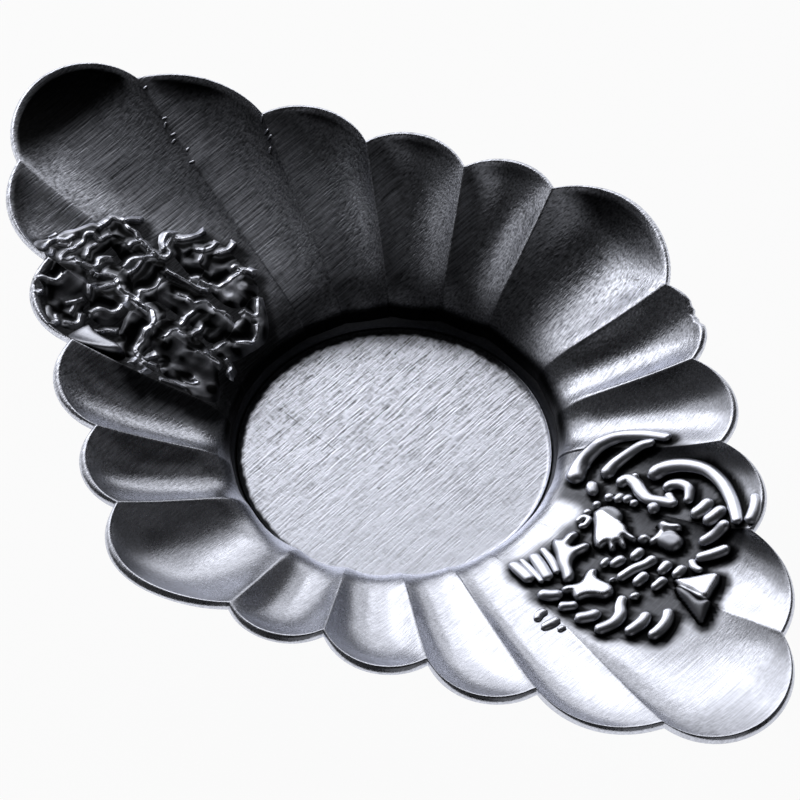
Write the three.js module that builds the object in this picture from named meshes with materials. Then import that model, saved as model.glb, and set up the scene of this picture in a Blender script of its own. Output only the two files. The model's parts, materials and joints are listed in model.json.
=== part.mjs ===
// A lozenge tin saucer for a tea cup. A plate of twenty flutes has a round opening, a tapered ring
// under the opening makes the wall of the well and the foot, a flat disc on the ring's ledge is
// the floor, and two relief sprays are soldered on the long ends.
// Millimetres, +Z up. The origin is on the table under the middle of the well, +X points to a tip.

import * as THREE from 'three';

// Plate, seen from above, along its top edge
const plateLength = 130;
const plateWidth = 80.6;
const tipLobeWidth = 18.1;
const tipLobeBulge = 8.3;
const cornerLobeWidth = 19.7;
const cornerLobeBulge = 5.7;
// Lobes of one side, from the tip to the side corner: shares of the side and outward bulges
const sideLobeShares = [0.29, 0.25, 0.24, 0.22];
const sideLobeBulges = [2.7, 3.0, 2.9, 2.6];
const sideBow = 0.5;

// Plate, in section
const plateThickness = 1.1;
const plateRise = 8.4;
const upturnLength = 5;
const lipWave = 0.5;
// How much of the rise a flute's floor makes before the upturn, at the tips and at the corners
const tipFloorShare = 0.75;
const cornerFloorShare = 0.55;
// How far the inner ends of the ridges move from radial lines (0) to equal spacing (1)
const ridgeEvening = 0.4;

// Well
const lipRadius = 21;
const wellDepth = 4;
const floorRadius = 18.7;
const floorThickness = 1.1;
const ledgeWidth = 2.2;
const ledgeThickness = 0.9;
const ringWall = 1.2;
// How far up the wall its curve leans in, as a share of the wall's height
const wallLean = 0.4;
const flangeWidth = 3;
const flangeThickness = 1;
const footBevel = 0.4;
const solderGap = 0.3;

// Relief sprays
const reliefEdge = 0.35;
const reliefProbe = 0.8;
// How high the valleys between cross ribs stay, as a share of the ribs
const ribValley = 0.3;
// The free length and the width of plate that the sprays' points are drawn for
const sprayReach = 44;
const sprayWidth = 80.6;

// Facets
const lobeSteps = 6;
const shareSteps = 8;
const ringSteps = 64;
const wallSteps = 5;
const stripSteps = 8;
const ribSteps = 4;
const acrossSteps = 4;
const probeSteps = 8;
const halvings = 24;

const lipHeight = ledgeThickness + floorThickness + wellDepth;
const fullTurn = 2 * Math.PI;
const { lerp } = THREE.MathUtils;

// Rim: the notches of one quarter, from the tip to the side corner
function quarterNotches() {
  const tip = new THREE.Vector2(plateLength / 2 - tipLobeBulge, tipLobeWidth / 2);
  const corner = new THREE.Vector2(cornerLobeWidth / 2, plateWidth / 2 - cornerLobeBulge);
  const outward = new THREE.Vector2(corner.y - tip.y, tip.x - corner.x).normalize();
  const notches = [tip];
  let share = 0;
  for (const lobeShare of sideLobeShares) {
    share += lobeShare;
    const bow = 4 * sideBow * share * (1 - share);
    notches.push(tip.clone().lerp(corner, share).addScaledVector(outward, bow));
  }
  return notches;
}

// One lobe: a circular arc of the rim between two notches, and its stretch of the lip
function makeLobe(start, end, place, lipFrom, lipTo) {
  const bulge = [tipLobeBulge, ...sideLobeBulges, cornerLobeBulge][place];
  const chord = end.clone().sub(start);
  const outward = new THREE.Vector2(chord.y, -chord.x).normalize();
  const radius = (chord.lengthSq() / 4 + bulge ** 2) / (2 * bulge);
  const centre = start.clone().lerp(end, 0.5).addScaledVector(outward, bulge - radius);
  const from = Math.atan2(start.y - centre.y, start.x - centre.x);
  const sweep = 4 * Math.atan((2 * bulge) / chord.length());
  const floorShare = lerp(tipFloorShare, cornerFloorShare, place / (sideLobeShares.length + 1));
  return { centre, radius, from, sweep, floorShare, lipFrom, lipTo };
}

// All lobes, counter-clockwise from the first one beside the +X tip. A lobe's place counts from
// the tip (0) over the side lobes to the corner.
function makeLobes() {
  const quarter = quarterNotches();
  const mirrored = (sx, sy) => quarter.map((notch) => new THREE.Vector2(sx * notch.x, sy * notch.y));
  const notches = [
    ...mirrored(1, 1),
    ...mirrored(-1, 1).reverse(),
    ...mirrored(-1, -1),
    ...mirrored(1, -1).reverse(),
  ];
  const sides = sideLobeShares.map((_, index) => index + 1);
  const half = [...sides, sides.length + 1, ...sides.slice().reverse(), 0];
  const places = [...half, ...half];
  const lipAngles = notches.map((notch, index) => {
    const even = ((index + 0.5) / notches.length) * fullTurn;
    return lerp(notch.angle(), even, ridgeEvening);
  });
  return notches.map((notch, index) => {
    const next = (index + 1) % notches.length;
    const lipTo = next === 0 ? lipAngles[0] + fullTurn : lipAngles[next];
    return makeLobe(notch, notches[next], places[index], lipAngles[index], lipTo);
  });
}

const lobes = makeLobes();

// The two ends of one ray of a lobe, across it from 0 to 1: on the lip and on the rim
function rayEnds(lobe, across) {
  const lipAngle = lerp(lobe.lipFrom, lobe.lipTo, across);
  const rimAngle = lobe.from + lobe.sweep * across;
  const lip = new THREE.Vector2(Math.cos(lipAngle), Math.sin(lipAngle)).multiplyScalar(lipRadius);
  const rim = new THREE.Vector2(Math.cos(rimAngle), Math.sin(rimAngle));
  return { lip, rim: rim.multiplyScalar(lobe.radius).add(lobe.centre) };
}

// Height of the plate's top: straight ridges, scooped flutes that turn up at the rim
function plateHeight(lobe, across, share, run) {
  const ridge = (2 * across - 1) ** 2;
  const floor = lobe.floorShare * share + (1 - lobe.floorShare) * share ** (run / upturnLength);
  const rise = plateRise * lerp(floor, share, ridge);
  return lipHeight + rise + lipWave * (1 - share) * ridge;
}

// A point of the plate's top, from the lip (share 0) to the rim (share 1)
function platePoint(lobe, across, share) {
  const { lip, rim } = rayEnds(lobe, across);
  const height = plateHeight(lobe, across, share, lip.distanceTo(rim));
  const plan = lip.clone().lerp(rim, share);
  return new THREE.Vector3(plan.x, plan.y, height);
}

// Side of a ray that a point lies on: the sign changes across the lobe that holds the point
function raySide(lobe, across, point) {
  const { lip, rim } = rayEnds(lobe, across);
  return rim.sub(lip).cross(point.clone().sub(lip));
}

// Height of the plate's top under a point, found by halving the lobe that holds it
function plateHeightAt(point) {
  const holds = (lobe) => raySide(lobe, 0, point) >= 0 && raySide(lobe, 1, point) <= 0;
  const faces = (lobe) => rayEnds(lobe, 0.5).rim.dot(point) > 0;
  const lobe = lobes.find((candidate) => faces(candidate) && holds(candidate));
  let low = 0;
  let high = 1;
  for (let pass = 0; pass < halvings; pass++) {
    const middle = (low + high) / 2;
    if (raySide(lobe, middle, point) > 0) low = middle;
    else high = middle;
  }
  const { lip, rim } = rayEnds(lobe, low);
  const run = lip.distanceTo(rim);
  const share = THREE.MathUtils.clamp(lip.distanceTo(point) / run, 0, 1);
  return plateHeight(lobe, low, share, run);
}

// A closed sheet between two grids of points. Rows run to the right of the columns' direction.
function sheetGeometry(top, bottom, closed) {
  const columns = top.length;
  const rows = top[0].length;
  const positions = [top, bottom].flat(2).flatMap((point) => point.toArray());
  const at = (column, row, layer) => (layer * columns + (column % columns)) * rows + row;
  const index = [];
  const quad = (a, b, c, d) => index.push(a, b, c, a, c, d);
  const spans = closed ? columns : columns - 1;
  for (let column = 0; column < spans; column++) {
    const next = column + 1;
    for (let row = 0; row < rows - 1; row++) {
      quad(at(column, row, 0), at(column, row + 1, 0), at(next, row + 1, 0), at(next, row, 0));
      quad(at(column, row, 1), at(next, row, 1), at(next, row + 1, 1), at(column, row + 1, 1));
    }
    const last = rows - 1;
    quad(at(column, 0, 0), at(next, 0, 0), at(next, 0, 1), at(column, 0, 1));
    quad(at(column, last, 0), at(column, last, 1), at(next, last, 1), at(next, last, 0));
  }
  if (!closed) {
    const end = columns - 1;
    for (let row = 0; row < rows - 1; row++) {
      quad(at(0, row, 0), at(0, row, 1), at(0, row + 1, 1), at(0, row + 1, 0));
      quad(at(end, row, 0), at(end, row + 1, 0), at(end, row + 1, 1), at(end, row, 1));
    }
  }
  const geometry = new THREE.BufferGeometry();
  geometry.setAttribute('position', new THREE.Float32BufferAttribute(positions, 3));
  geometry.setIndex(index);
  return geometry;
}

// Fluted plate: the top grid, and the same grid set back by the sheet's thickness
function plateGrid() {
  const grid = [];
  for (const lobe of lobes) {
    for (let step = 0; step < lobeSteps; step++) {
      const column = [];
      for (let row = 0; row <= shareSteps; row++) {
        column.push(platePoint(lobe, step / lobeSteps, row / shareSteps));
      }
      grid.push(column);
    }
  }
  return grid;
}

function fluted_plate() {
  const top = plateGrid();
  const columns = top.length;
  const bottom = top.map((column, index) =>
    column.map((point, row) => {
      const before = top[(index + columns - 1) % columns][row];
      const after = top[(index + 1) % columns][row];
      const inner = column[Math.max(row - 1, 0)];
      const outer = column[Math.min(row + 1, shareSteps)];
      const around = after.clone().sub(before);
      const normal = outer.clone().sub(inner).cross(around).normalize();
      return point.clone().addScaledVector(normal, -plateThickness);
    }),
  );
  return sheetGeometry(top, bottom, true);
}

// Well: the ring hangs under the plate's opening, the floor lies on its ledge
function well_ring() {
  const top = lipHeight - plateThickness - solderGap;
  const boreRadius = floorRadius + solderGap;
  const throatRadius = lipRadius - solderGap;
  const floorTop = ledgeThickness + floorThickness;
  const neck = top - flangeThickness;
  const wall = new THREE.QuadraticBezierCurve(
    new THREE.Vector2(throatRadius, top),
    new THREE.Vector2(boreRadius, lerp(floorTop, top, wallLean)),
    new THREE.Vector2(boreRadius, floorTop),
  );
  const profile = [
    new THREE.Vector2(floorRadius - ledgeWidth, 0),
    new THREE.Vector2(boreRadius + ringWall - footBevel, 0),
    new THREE.Vector2(boreRadius + ringWall, footBevel),
    new THREE.Vector2(throatRadius + ringWall, neck),
    new THREE.Vector2(lipRadius + flangeWidth, neck),
    new THREE.Vector2(lipRadius + flangeWidth, top),
    ...wall.getPoints(wallSteps),
    new THREE.Vector2(boreRadius, ledgeThickness),
    new THREE.Vector2(floorRadius - ledgeWidth, ledgeThickness),
    new THREE.Vector2(floorRadius - ledgeWidth, 0),
  ];
  return new THREE.LatheGeometry(profile, ringSteps).rotateX(Math.PI / 2);
}

function well_floor() {
  const disc = new THREE.CylinderGeometry(floorRadius, floorRadius, floorThickness, ringSteps);
  return disc.rotateX(Math.PI / 2).translate(0, 0, ledgeThickness + floorThickness / 2);
}

// Relief: the seat clears the plate all round a point, so a facet over a ridge clears it too
function seatHeight(point) {
  let height = plateHeightAt(point);
  for (let step = 0; step < probeSteps; step++) {
    const angle = (step / probeSteps) * fullTurn;
    const probe = new THREE.Vector2(Math.cos(angle), Math.sin(angle));
    height = Math.max(height, plateHeightAt(probe.multiplyScalar(reliefProbe).add(point)));
  }
  return height + solderGap;
}

// A spray's point: how far beyond the lip towards its tip, and how far towards the +Y corner
function sprayPoint(side, [along, sideways]) {
  const reach = (plateLength / 2 - lipRadius) / sprayReach;
  return new THREE.Vector3(side * (lipRadius + along * reach), (sideways * plateWidth) / sprayWidth, 0);
}

// A strip of relief along a path: domed across, with cross ribs where it has them
function reliefStrip(side, { path, widths, height, ribs }) {
  const curve = new THREE.CatmullRomCurve3(path.map((point) => sprayPoint(side, point)));
  const steps = ribs ? ribs * ribSteps : stripSteps;
  const top = [];
  const bottom = [];
  for (let step = 0; step <= steps; step++) {
    const along = step / steps;
    const middle = curve.getPoint(along);
    const tangent = curve.getTangent(along);
    const rightward = new THREE.Vector2(tangent.y, -tangent.x);
    const [first, centre, last] = widths;
    const width = along < 0.5 ? lerp(first, centre, 2 * along) : lerp(centre, last, 2 * along - 1);
    const taper = width / Math.max(...widths);
    const rib = ribs ? lerp(ribValley, 1, Math.sin(Math.PI * ribs * along) ** 2) : 1;
    const topColumn = [];
    const bottomColumn = [];
    for (let row = 0; row <= acrossSteps; row++) {
      const across = (2 * row) / acrossSteps - 1;
      const offset = rightward.clone().multiplyScalar((across * width) / 2);
      const plan = new THREE.Vector2(middle.x, middle.y).add(offset);
      const seat = seatHeight(plan);
      const crown = reliefEdge + (height - reliefEdge) * taper * rib * (1 - across ** 2);
      topColumn.push(new THREE.Vector3(plan.x, plan.y, seat + crown));
      bottomColumn.push(new THREE.Vector3(plan.x, plan.y, seat));
    }
    top.push(topColumn);
    bottom.push(bottomColumn);
  }
  return sheetGeometry(top, bottom, false);
}

// Right spray: plumes over a scaled body with rib fans, leaves and a triangular tail
const rightSpray = {
  plume_a: {
    path: [[-0.4, 9.7], [-1.9, 12.6], [-1.9, 15.2], [-0.5, 18], [2.4, 20]],
    widths: [2, 1.6, 0.8],
    height: 1.6,
  },
  plume_b: {
    path: [[1.6, 12.6], [1.2, 14.5], [1.5, 16.8], [3.4, 19]],
    widths: [1.7, 1.3, 0.7],
    height: 1.5,
  },
  plume_c: {
    path: [[6.6, 15.8], [6.2, 17.4], [8, 19.7], [11.6, 20.7], [15.8, 19.3], [19.8, 16.7]],
    widths: [2, 1.5, 1.2],
    height: 1.6,
  },
  plume_d: { path: [[20.7, 18.2], [19.8, 19.5], [18.4, 20.9]], widths: [1.2, 1.2, 0.9], height: 0.8 },
  wave_band: {
    path: [[3.8, 14.9], [6, 14.2], [8.5, 13.8], [11.3, 14.4]],
    widths: [1.1, 1.2, 1.2],
    height: 1.2,
  },
  arch_curl: {
    path: [[9, 15.7], [9.3, 17], [10.8, 17.7], [12.3, 16.9], [12.9, 15.4]],
    widths: [1.2, 1.2, 1.2],
    height: 1.4,
  },
  upper_ribs: {
    path: [[14.1, 16.4], [16.7, 16.1], [18.6, 14.4], [20.8, 11.6]],
    widths: [2.6, 2.6, 2.6],
    height: 1.3,
    ribs: 4,
  },
  bead_chain: {
    path: [[7.9, 12], [6.1, 12.3], [4.3, 11.4], [3.7, 9.6], [3.8, 7.6], [4.7, 5.6]],
    widths: [1.1, 1.3, 1.1],
    height: 1.2,
    ribs: 6,
  },
  head_leaf: { path: [[5.2, 8.6], [7.8, 7.7], [10.9, 6.9]], widths: [1, 3.2, 3.4], height: 1.8 },
  knob_leaf: { path: [[12.6, 11.1], [14.6, 11.1], [16.9, 11.2]], widths: [2, 2.2, 1.8], height: 1.5 },
  scale_rows: {
    path: [[12, 5.4], [15.4, 6], [19, 6.9]],
    widths: [4.2, 4.6, 3.8],
    height: 1.5,
    ribs: 4,
  },
  tail_leaf: { path: [[19.9, 7], [22.8, 7.6], [25.6, 8.2]], widths: [0.9, 3.6, 6.4], height: 1.5 },
  fork_leaf: { path: [[5.4, 3.4], [7.4, 1.6], [10, -0.8]], widths: [2.6, 2.6, 1.1], height: 1.4 },
  inner_ribs: {
    path: [[5.2, -0.4], [5.7, -2.2], [5.3, -4.7]],
    widths: [3.4, 4.6, 4.4],
    height: 1.2,
    ribs: 3,
  },
  star_leaf: { path: [[15.1, 0.9], [13.2, 0.4], [11.6, 0]], widths: [0.8, 2.4, 3.4], height: 1.4 },
  lower_ribs: {
    path: [[9.9, -4.4], [13.2, -4.4], [16.2, -3.4], [18.9, -1.5], [21.2, -0.2], [23.9, 1.3]],
    widths: [2.4, 3.2, 3.8],
    height: 1.4,
    ribs: 6,
  },
  low_leaf: { path: [[10.6, -7.4], [12.8, -7.5], [14.9, -7.6]], widths: [1, 1.8, 1.2], height: 0.7 },
};

// Left spray: ruffled petals round a heart, towards the -Y corner
const leftSpray = {
  crest_petal: {
    path: [[17.8, -1.4], [12.6, 0], [7.2, 0.2]],
    widths: [3.4, 6.4, 5.6],
    height: 2,
    ribs: 3,
  },
  east_petal: {
    path: [[4.4, 0.4], [1.9, -2.2], [1.6, -6.6]],
    widths: [2, 3.6, 3],
    height: 1.8,
    ribs: 2,
  },
  middle_petal: {
    path: [[11.6, -7], [8.2, -5.8], [4.2, -5.6]],
    widths: [3, 4.2, 4],
    height: 1.8,
    ribs: 2,
  },
  west_petal: {
    path: [[24.2, -4.2], [21.4, -5.6], [18.3, -6.6]],
    widths: [2.6, 4, 3.6],
    height: 1.7,
    ribs: 2,
  },
  inner_petal: { path: [[16.4, -5], [14.9, -6.9], [13.2, -9.2]], widths: [2.6, 3.8, 3], height: 1.8 },
  tip_petal: {
    path: [[22.4, -8.8], [22.6, -11.6], [23.8, -14.8]],
    widths: [3.6, 5.2, 3.6],
    height: 1.8,
    ribs: 3,
  },
  heart_petal: {
    path: [[16.8, -10.6], [15.1, -12.8], [13.4, -15.4]],
    widths: [3.4, 4.8, 3.4],
    height: 2,
  },
  rim_petal: {
    path: [[20, -15], [17.6, -17.8], [15.3, -20.4]],
    widths: [3.4, 4.8, 3.4],
    height: 1.7,
    ribs: 3,
  },
  south_petal: { path: [[10.6, -10.4], [9.4, -13.2], [8, -16.2]], widths: [3, 3.8, 3], height: 1.8 },
  broad_petal: {
    path: [[6.6, -11], [2.9, -11.8], [-1, -12.8]],
    widths: [5, 6.6, 4],
    height: 1.8,
    ribs: 3,
  },
  stem_leaf: { path: [[12.8, -18.8], [9.6, -18.6], [6, -17.9]], widths: [1.2, 1.6, 1.2], height: 1.2 },
};

// Finishes
const agedTin = new THREE.MeshStandardMaterial({ color: 0x6b6c70, roughness: 0.42, metalness: 1 });
const darkTin = new THREE.MeshStandardMaterial({ color: 0x3c3d41, roughness: 0.4, metalness: 1 });
const brushedTin = new THREE.MeshStandardMaterial({ color: 0xb9babf, roughness: 0.5, metalness: 1 });

const saucer = new THREE.Group();

function add(name, geometry, material) {
  const mesh = new THREE.Mesh(geometry, material);
  mesh.name = name;
  saucer.add(mesh);
}

add('fluted_plate', fluted_plate(), agedTin);
add('well_ring', well_ring(), darkTin);
add('well_floor', well_floor(), brushedTin);
for (const [name, relief] of Object.entries(rightSpray)) add(name, reliefStrip(1, relief), agedTin);
for (const [name, relief] of Object.entries(leftSpray)) add(name, reliefStrip(-1, relief), darkTin);

export default saucer;
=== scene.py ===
# %% [markdown]
# A lozenge tin saucer for a tea cup
#
# The saucer is a hammered plate of twenty flutes with a round sunken well and a relief spray on
# each long end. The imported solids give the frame: every piece below is made in that frame, in
# metres, and stands for the solid that carries its name.

# %% The frame
import json
import math

import bmesh
import bpy
import numpy as np
from mathutils import Matrix, Vector
from mathutils.bvhtree import BVHTree
from mathutils.kdtree import KDTree

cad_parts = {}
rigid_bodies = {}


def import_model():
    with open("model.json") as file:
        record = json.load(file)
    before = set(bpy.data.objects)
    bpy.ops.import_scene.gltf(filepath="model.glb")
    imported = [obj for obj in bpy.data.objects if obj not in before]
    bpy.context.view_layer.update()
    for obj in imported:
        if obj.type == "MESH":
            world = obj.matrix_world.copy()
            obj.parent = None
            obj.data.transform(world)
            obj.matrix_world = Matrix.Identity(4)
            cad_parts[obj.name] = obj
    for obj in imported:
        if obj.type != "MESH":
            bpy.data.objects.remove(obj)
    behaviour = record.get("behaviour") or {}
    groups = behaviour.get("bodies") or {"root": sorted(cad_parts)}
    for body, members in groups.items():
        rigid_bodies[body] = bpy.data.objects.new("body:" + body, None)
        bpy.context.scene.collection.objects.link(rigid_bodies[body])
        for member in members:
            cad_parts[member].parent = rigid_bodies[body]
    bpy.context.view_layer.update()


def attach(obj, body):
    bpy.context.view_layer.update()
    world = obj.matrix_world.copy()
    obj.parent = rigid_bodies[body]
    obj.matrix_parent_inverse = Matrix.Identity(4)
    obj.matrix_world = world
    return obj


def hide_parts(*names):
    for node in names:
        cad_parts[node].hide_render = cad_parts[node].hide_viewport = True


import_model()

MM = 0.001


# %% [markdown]
# The camera
#
# The photograph was taken with a long lens from above the near right side, so lines hardly
# converge. The camera looks at a point a little above the lip, which puts the well where the
# photograph has it.

# %% The camera
CAMERA_AZIMUTH = math.radians(48.04)
CAMERA_ELEVATION = math.radians(52.48)
CAMERA_ROLL = math.radians(-0.51)
CAMERA_DISTANCE = 1225.2 * MM
CAMERA_LENS, SENSOR_WIDTH = 463.2, 36.0
LIP_HEIGHT = 6.0
# How far the middle of the picture lies from the middle of the lip, in millimetres
FRAME_RIGHT, FRAME_UP = 0.7, 4.1


def camera_axes(azimuth, elevation, roll):
    """The picture's right and up and the way back to the camera, as unit vectors."""
    back = Vector((
        math.sin(azimuth) * math.cos(elevation),
        -math.cos(azimuth) * math.cos(elevation),
        math.sin(elevation),
    ))
    level = Vector((math.cos(azimuth), math.sin(azimuth), 0))
    upright = back.cross(level)
    right = level * math.cos(roll) + upright * math.sin(roll)
    return right, back.cross(right), back


right, up, back = camera_axes(CAMERA_AZIMUTH, CAMERA_ELEVATION, CAMERA_ROLL)
target = Vector((0, 0, LIP_HEIGHT * MM)) + right * FRAME_RIGHT * MM + up * FRAME_UP * MM
lens = bpy.data.cameras.new("camera")
lens.lens = CAMERA_LENS
lens.sensor_width = SENSOR_WIDTH
camera = bpy.data.objects.new("camera", lens)
turn = Matrix((right, up, back)).transposed().to_4x4()
camera.matrix_world = Matrix.Translation(target + back * CAMERA_DISTANCE) @ turn
bpy.context.scene.collection.objects.link(camera)
bpy.context.scene.camera = camera
print("camera:", [round(c, 3) for c in camera.location], "m, lens", CAMERA_LENS, "mm")

# %% [markdown]
# Writing node trees
#
# Materials and Geometry Nodes are both trees of nodes. A small helper adds a node and wires it in
# one line, so that a tree reads like the sum that it works out.

# %% A helper for node trees


class Tree:
    """Adds nodes to a node tree and wires each one to what feeds it."""

    def __init__(self, nodes_of):
        self.tree = nodes_of

    def node(self, kind, feeds=None, **settings):
        made = self.tree.nodes.new(kind)
        for name, value in settings.items():
            setattr(made, name, value)
        for socket, value in (feeds or {}).items():
            self.feed(made.inputs[socket], value)
        return made

    def feed(self, socket, value):
        if isinstance(value, bpy.types.NodeSocket):
            self.tree.links.new(value, socket)
        else:
            socket.default_value = value

    def math(self, operation, *terms):
        return self.node("ShaderNodeMath", dict(enumerate(terms)), operation=operation).outputs[0]

    def vector(self, operation, *terms):
        made = self.node("ShaderNodeVectorMath", dict(enumerate(terms)), operation=operation)
        return made.outputs["Value" if operation in {"LENGTH", "DOT_PRODUCT"} else "Vector"]

    def scale(self, vector, factor):
        feeds = {"Vector": vector, "Scale": factor}
        return self.node("ShaderNodeVectorMath", feeds, operation="SCALE").outputs["Vector"]

    def between(self, start, end, share):
        return self.math("MULTIPLY_ADD", self.math("SUBTRACT", end, start), share, start)

    def step(self, value, low, high, from_value=0.0, to_value=1.0):
        feeds = {"Value": value, "From Min": low, "From Max": high}
        feeds |= {"To Min": from_value, "To Max": to_value}
        made = self.node("ShaderNodeMapRange", feeds, interpolation_type="SMOOTHSTEP")
        return made.outputs["Result"]

    def to_line(self, place, start, end):
        """How far a place is in plan from the straight line between two plan points."""
        flat_place = self.vector("MULTIPLY", place, (1, 1, 0))
        along = np.subtract(end, start)
        from_start = self.vector("SUBTRACT", flat_place, (*start, 0))
        share = self.vector("DOT_PRODUCT", from_start, (*(along / (along @ along)), 0))
        share = self.math("MINIMUM", self.math("MAXIMUM", share, 0.0), 1.0)
        nearest = self.scale((*along, 0), share)
        return self.vector("LENGTH", self.vector("SUBTRACT", from_start, nearest))

    def noise(self, place, scale, detail=2.0, roughness=0.5):
        feeds = {"Vector": place, "Scale": scale, "Detail": detail, "Roughness": roughness}
        return self.node("ShaderNodeTexNoise", feeds).outputs["Fac"]

    def wobble(self, place, scale, detail=2.0, roughness=0.5):
        """Noise about zero."""
        return self.math("SUBTRACT", self.noise(place, scale, detail, roughness), 0.5)

    def place(self):
        return self.node("GeometryNodeInputPosition").outputs[0]

    def shape_of(self, holder):
        return self.node("GeometryNodeObjectInfo", {"Object": holder}).outputs["Geometry"]

    def attribute(self, name, kind="FLOAT"):
        made = self.node("GeometryNodeInputNamedAttribute", {"Name": name}, data_type=kind)
        return made.outputs["Attribute"]


# %% [markdown]
# The studio
#
# Metal has hardly any colour of its own: it shows the room. In the photograph the walls that face
# the left are bright and all others are nearly black, so the room is one tall window on the left of
# a dark studio. Its panes aren't equally bright. Weak panels, one of them on the photographer's
# side, keep the dark flutes readable. The floor is a sheet of white paper whose far edge turns up.

# %% The studio
WORLD_TONE = 0.007
# The sheet of paper: the radius and the height of each ring, for its far edge turns up a little
PAPER_RINGS = ((4.0, 0.0), (4.4, 0.03), (4.8, 0.12))
PAPER_STEPS = 64
PAPER_TONE, PAPER_GLOW = 0.85, 0.95
PANE_DISTANCE = 0.8
# Each pane: the compass and height angles of its middle, its width and height in degrees, radiance
PANES = {
    "window_low_left": (197, 14, 26, 28, 0.6),
    "window_high_left": (197, 39, 26, 22, 0.55),
    "window_low_middle": (171, 14, 26, 28, 2.1),
    "window_high_middle": (171, 39, 28, 22, 1.4),
    "window_low_right": (144, 14, 28, 28, 1.1),
    "window_high_right": (144, 37, 30, 18, 1.9),
    "window_low_end": (117, 11, 26, 22, 0.95),
    "window_high_end": (117, 32, 26, 18, 0.6),
    "window_top": (150, 54, 44, 12, 0.85),
    "side_fill": (245, 38, 60, 50, 0.03),
    "back_fill": (85, 15, 34, 26, 0.045),
    "high_fill": (75, 55, 24, 16, 0.09),
    "low_fill": (50, 25, 30, 30, 0.05),
    "room_fill": (338, 36, 40, 50, 0.15),
}


def softbox(name, azimuth, elevation, width, height, radiance):
    """A panel of soft light that faces the saucer and that the camera doesn't see."""
    lamp = bpy.data.lights.new(name, "AREA")
    lamp.shape = "RECTANGLE"
    spans = (math.tan(math.radians(angle / 2)) for angle in (width, height))
    lamp.size, lamp.size_y = (2 * PANE_DISTANCE * span for span in spans)
    lamp.energy = radiance * math.pi * lamp.size * lamp.size_y
    panel = bpy.data.objects.new(name, lamp)
    a, e = math.radians(azimuth), math.radians(elevation)
    way = Vector((math.cos(a) * math.cos(e), math.sin(a) * math.cos(e), math.sin(e)))
    facing = way.to_track_quat("Z", "Y").to_matrix().to_4x4()
    panel.matrix_world = Matrix.Translation(way * PANE_DISTANCE) @ facing
    panel.visible_camera = False
    bpy.context.scene.collection.objects.link(panel)


for name, numbers in PANES.items():
    softbox(name, *numbers)

world = bpy.data.worlds.new("studio")
world.use_nodes = True
darkness = world.node_tree.nodes["Background"].inputs["Color"]
darkness.default_value = (WORLD_TONE, WORLD_TONE, WORLD_TONE, 1)
bpy.context.scene.world = world
bpy.context.scene.view_settings.view_transform = "Standard"

paper = bpy.data.materials.new("white_paper")
paper.use_nodes = True
paper.node_tree.nodes.clear()
t = Tree(paper.node_tree)
path = t.node("ShaderNodeLightPath").outputs
mirrored = t.math("MAXIMUM", path["Is Glossy Ray"], path["Is Transmission Ray"])
seen = t.math("MAXIMUM", path["Is Camera Ray"], mirrored)
matt = t.node("ShaderNodeBsdfDiffuse", {"Color": (PAPER_TONE, PAPER_TONE, PAPER_TONE, 1)})
glow = t.node("ShaderNodeEmission", {"Color": (1, 1, 1, 1), "Strength": 1.0})
share = t.math("MULTIPLY", seen, PAPER_GLOW)
mixed = t.node("ShaderNodeMixShader", {0: share, 1: matt.outputs[0], 2: glow.outputs[0]})
t.node("ShaderNodeOutputMaterial", {"Surface": mixed.outputs[0]})

turns = np.linspace(0, 2 * np.pi, PAPER_STEPS, endpoint=False)
places = [
    (radius * math.cos(a), radius * math.sin(a), height)
    for radius, height in PAPER_RINGS for a in turns
]
faces = [tuple(range(PAPER_STEPS))]
for ring in range(len(PAPER_RINGS) - 1):
    for step in range(PAPER_STEPS):
        first, second = (ring * PAPER_STEPS + k % PAPER_STEPS for k in (step, step + 1))
        faces.append((first, first + PAPER_STEPS, second + PAPER_STEPS, second))
floor_mesh = bpy.data.meshes.new("floor")
floor_mesh.from_pydata(places, [], faces)
floor_mesh.materials.append(paper)
floor = bpy.data.objects.new("floor", floor_mesh)
bpy.context.scene.collection.objects.link(floor)
print("studio:", len(bpy.data.lights), "panels, paper", 2 * PAPER_RINGS[-1][0], "m across")

# %% [markdown]
# Aged tin
#
# Old tin is a soft grey metal with a dark skin in its hollows, bright worn crests and fine
# scratches that cross each other, and it looks a little blue. One function writes the finish, and
# each piece asks for its own mix of tone, skin and wear; the dark skin that a piece stores also
# carries painted shade. Where a piece has been handled most, the strokes are rubbed down. Patterns
# are measured in millimetres on Object coordinates.

# %% Aged tin
# The cool cast of tin, as shares of its tone
TIN_TINT = (0.967, 0.998, 1.125)
# Strokes: turn in degrees, width and length of a stroke in millimetres, weight
LONG_STROKES = ((4.0, 0.2, 7.0, 1.0), (94.0, 0.24, 4.0, 0.3))
SHORT_STROKES = ((4.0, 0.22, 3.0, 0.9), (94.0, 0.3, 1.6, 0.3), (8.0, 0.26, 10.0, 0.45))
STROKE_DETAIL, PATTERN_ROUGHNESS = 1.5, 0.55
# Handling has rubbed the near right half: the way there, where it starts and ends, what is left
RUBBED_WAY = (0.85, -0.52, 0.0)
RUBBED_FROM, RUBBED_TO, RUBBED_LEFT = -16.0, 16.0, 0.35
CLOUDS_PER_MM, CLOUD_DETAIL, CLOUD_SHARE = 0.09, 4.0, 0.35
GRAINS_PER_MM, GRAIN_DETAIL = 2.2, 2.0
# What the grain and the dark skin add to the roughness
GRAIN_ROUGHNESS, SKIN_ROUGHNESS = 0.12, 0.22
# A scratch has gaps: its skin, the gaps in a millimetre, the noise at which it starts and is whole
SCRATCH_SKIN, GAPS_PER_MM, SCRATCH_FROM, SCRATCH_TO = 0.7, 1.4, 0.35, 0.6


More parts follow.
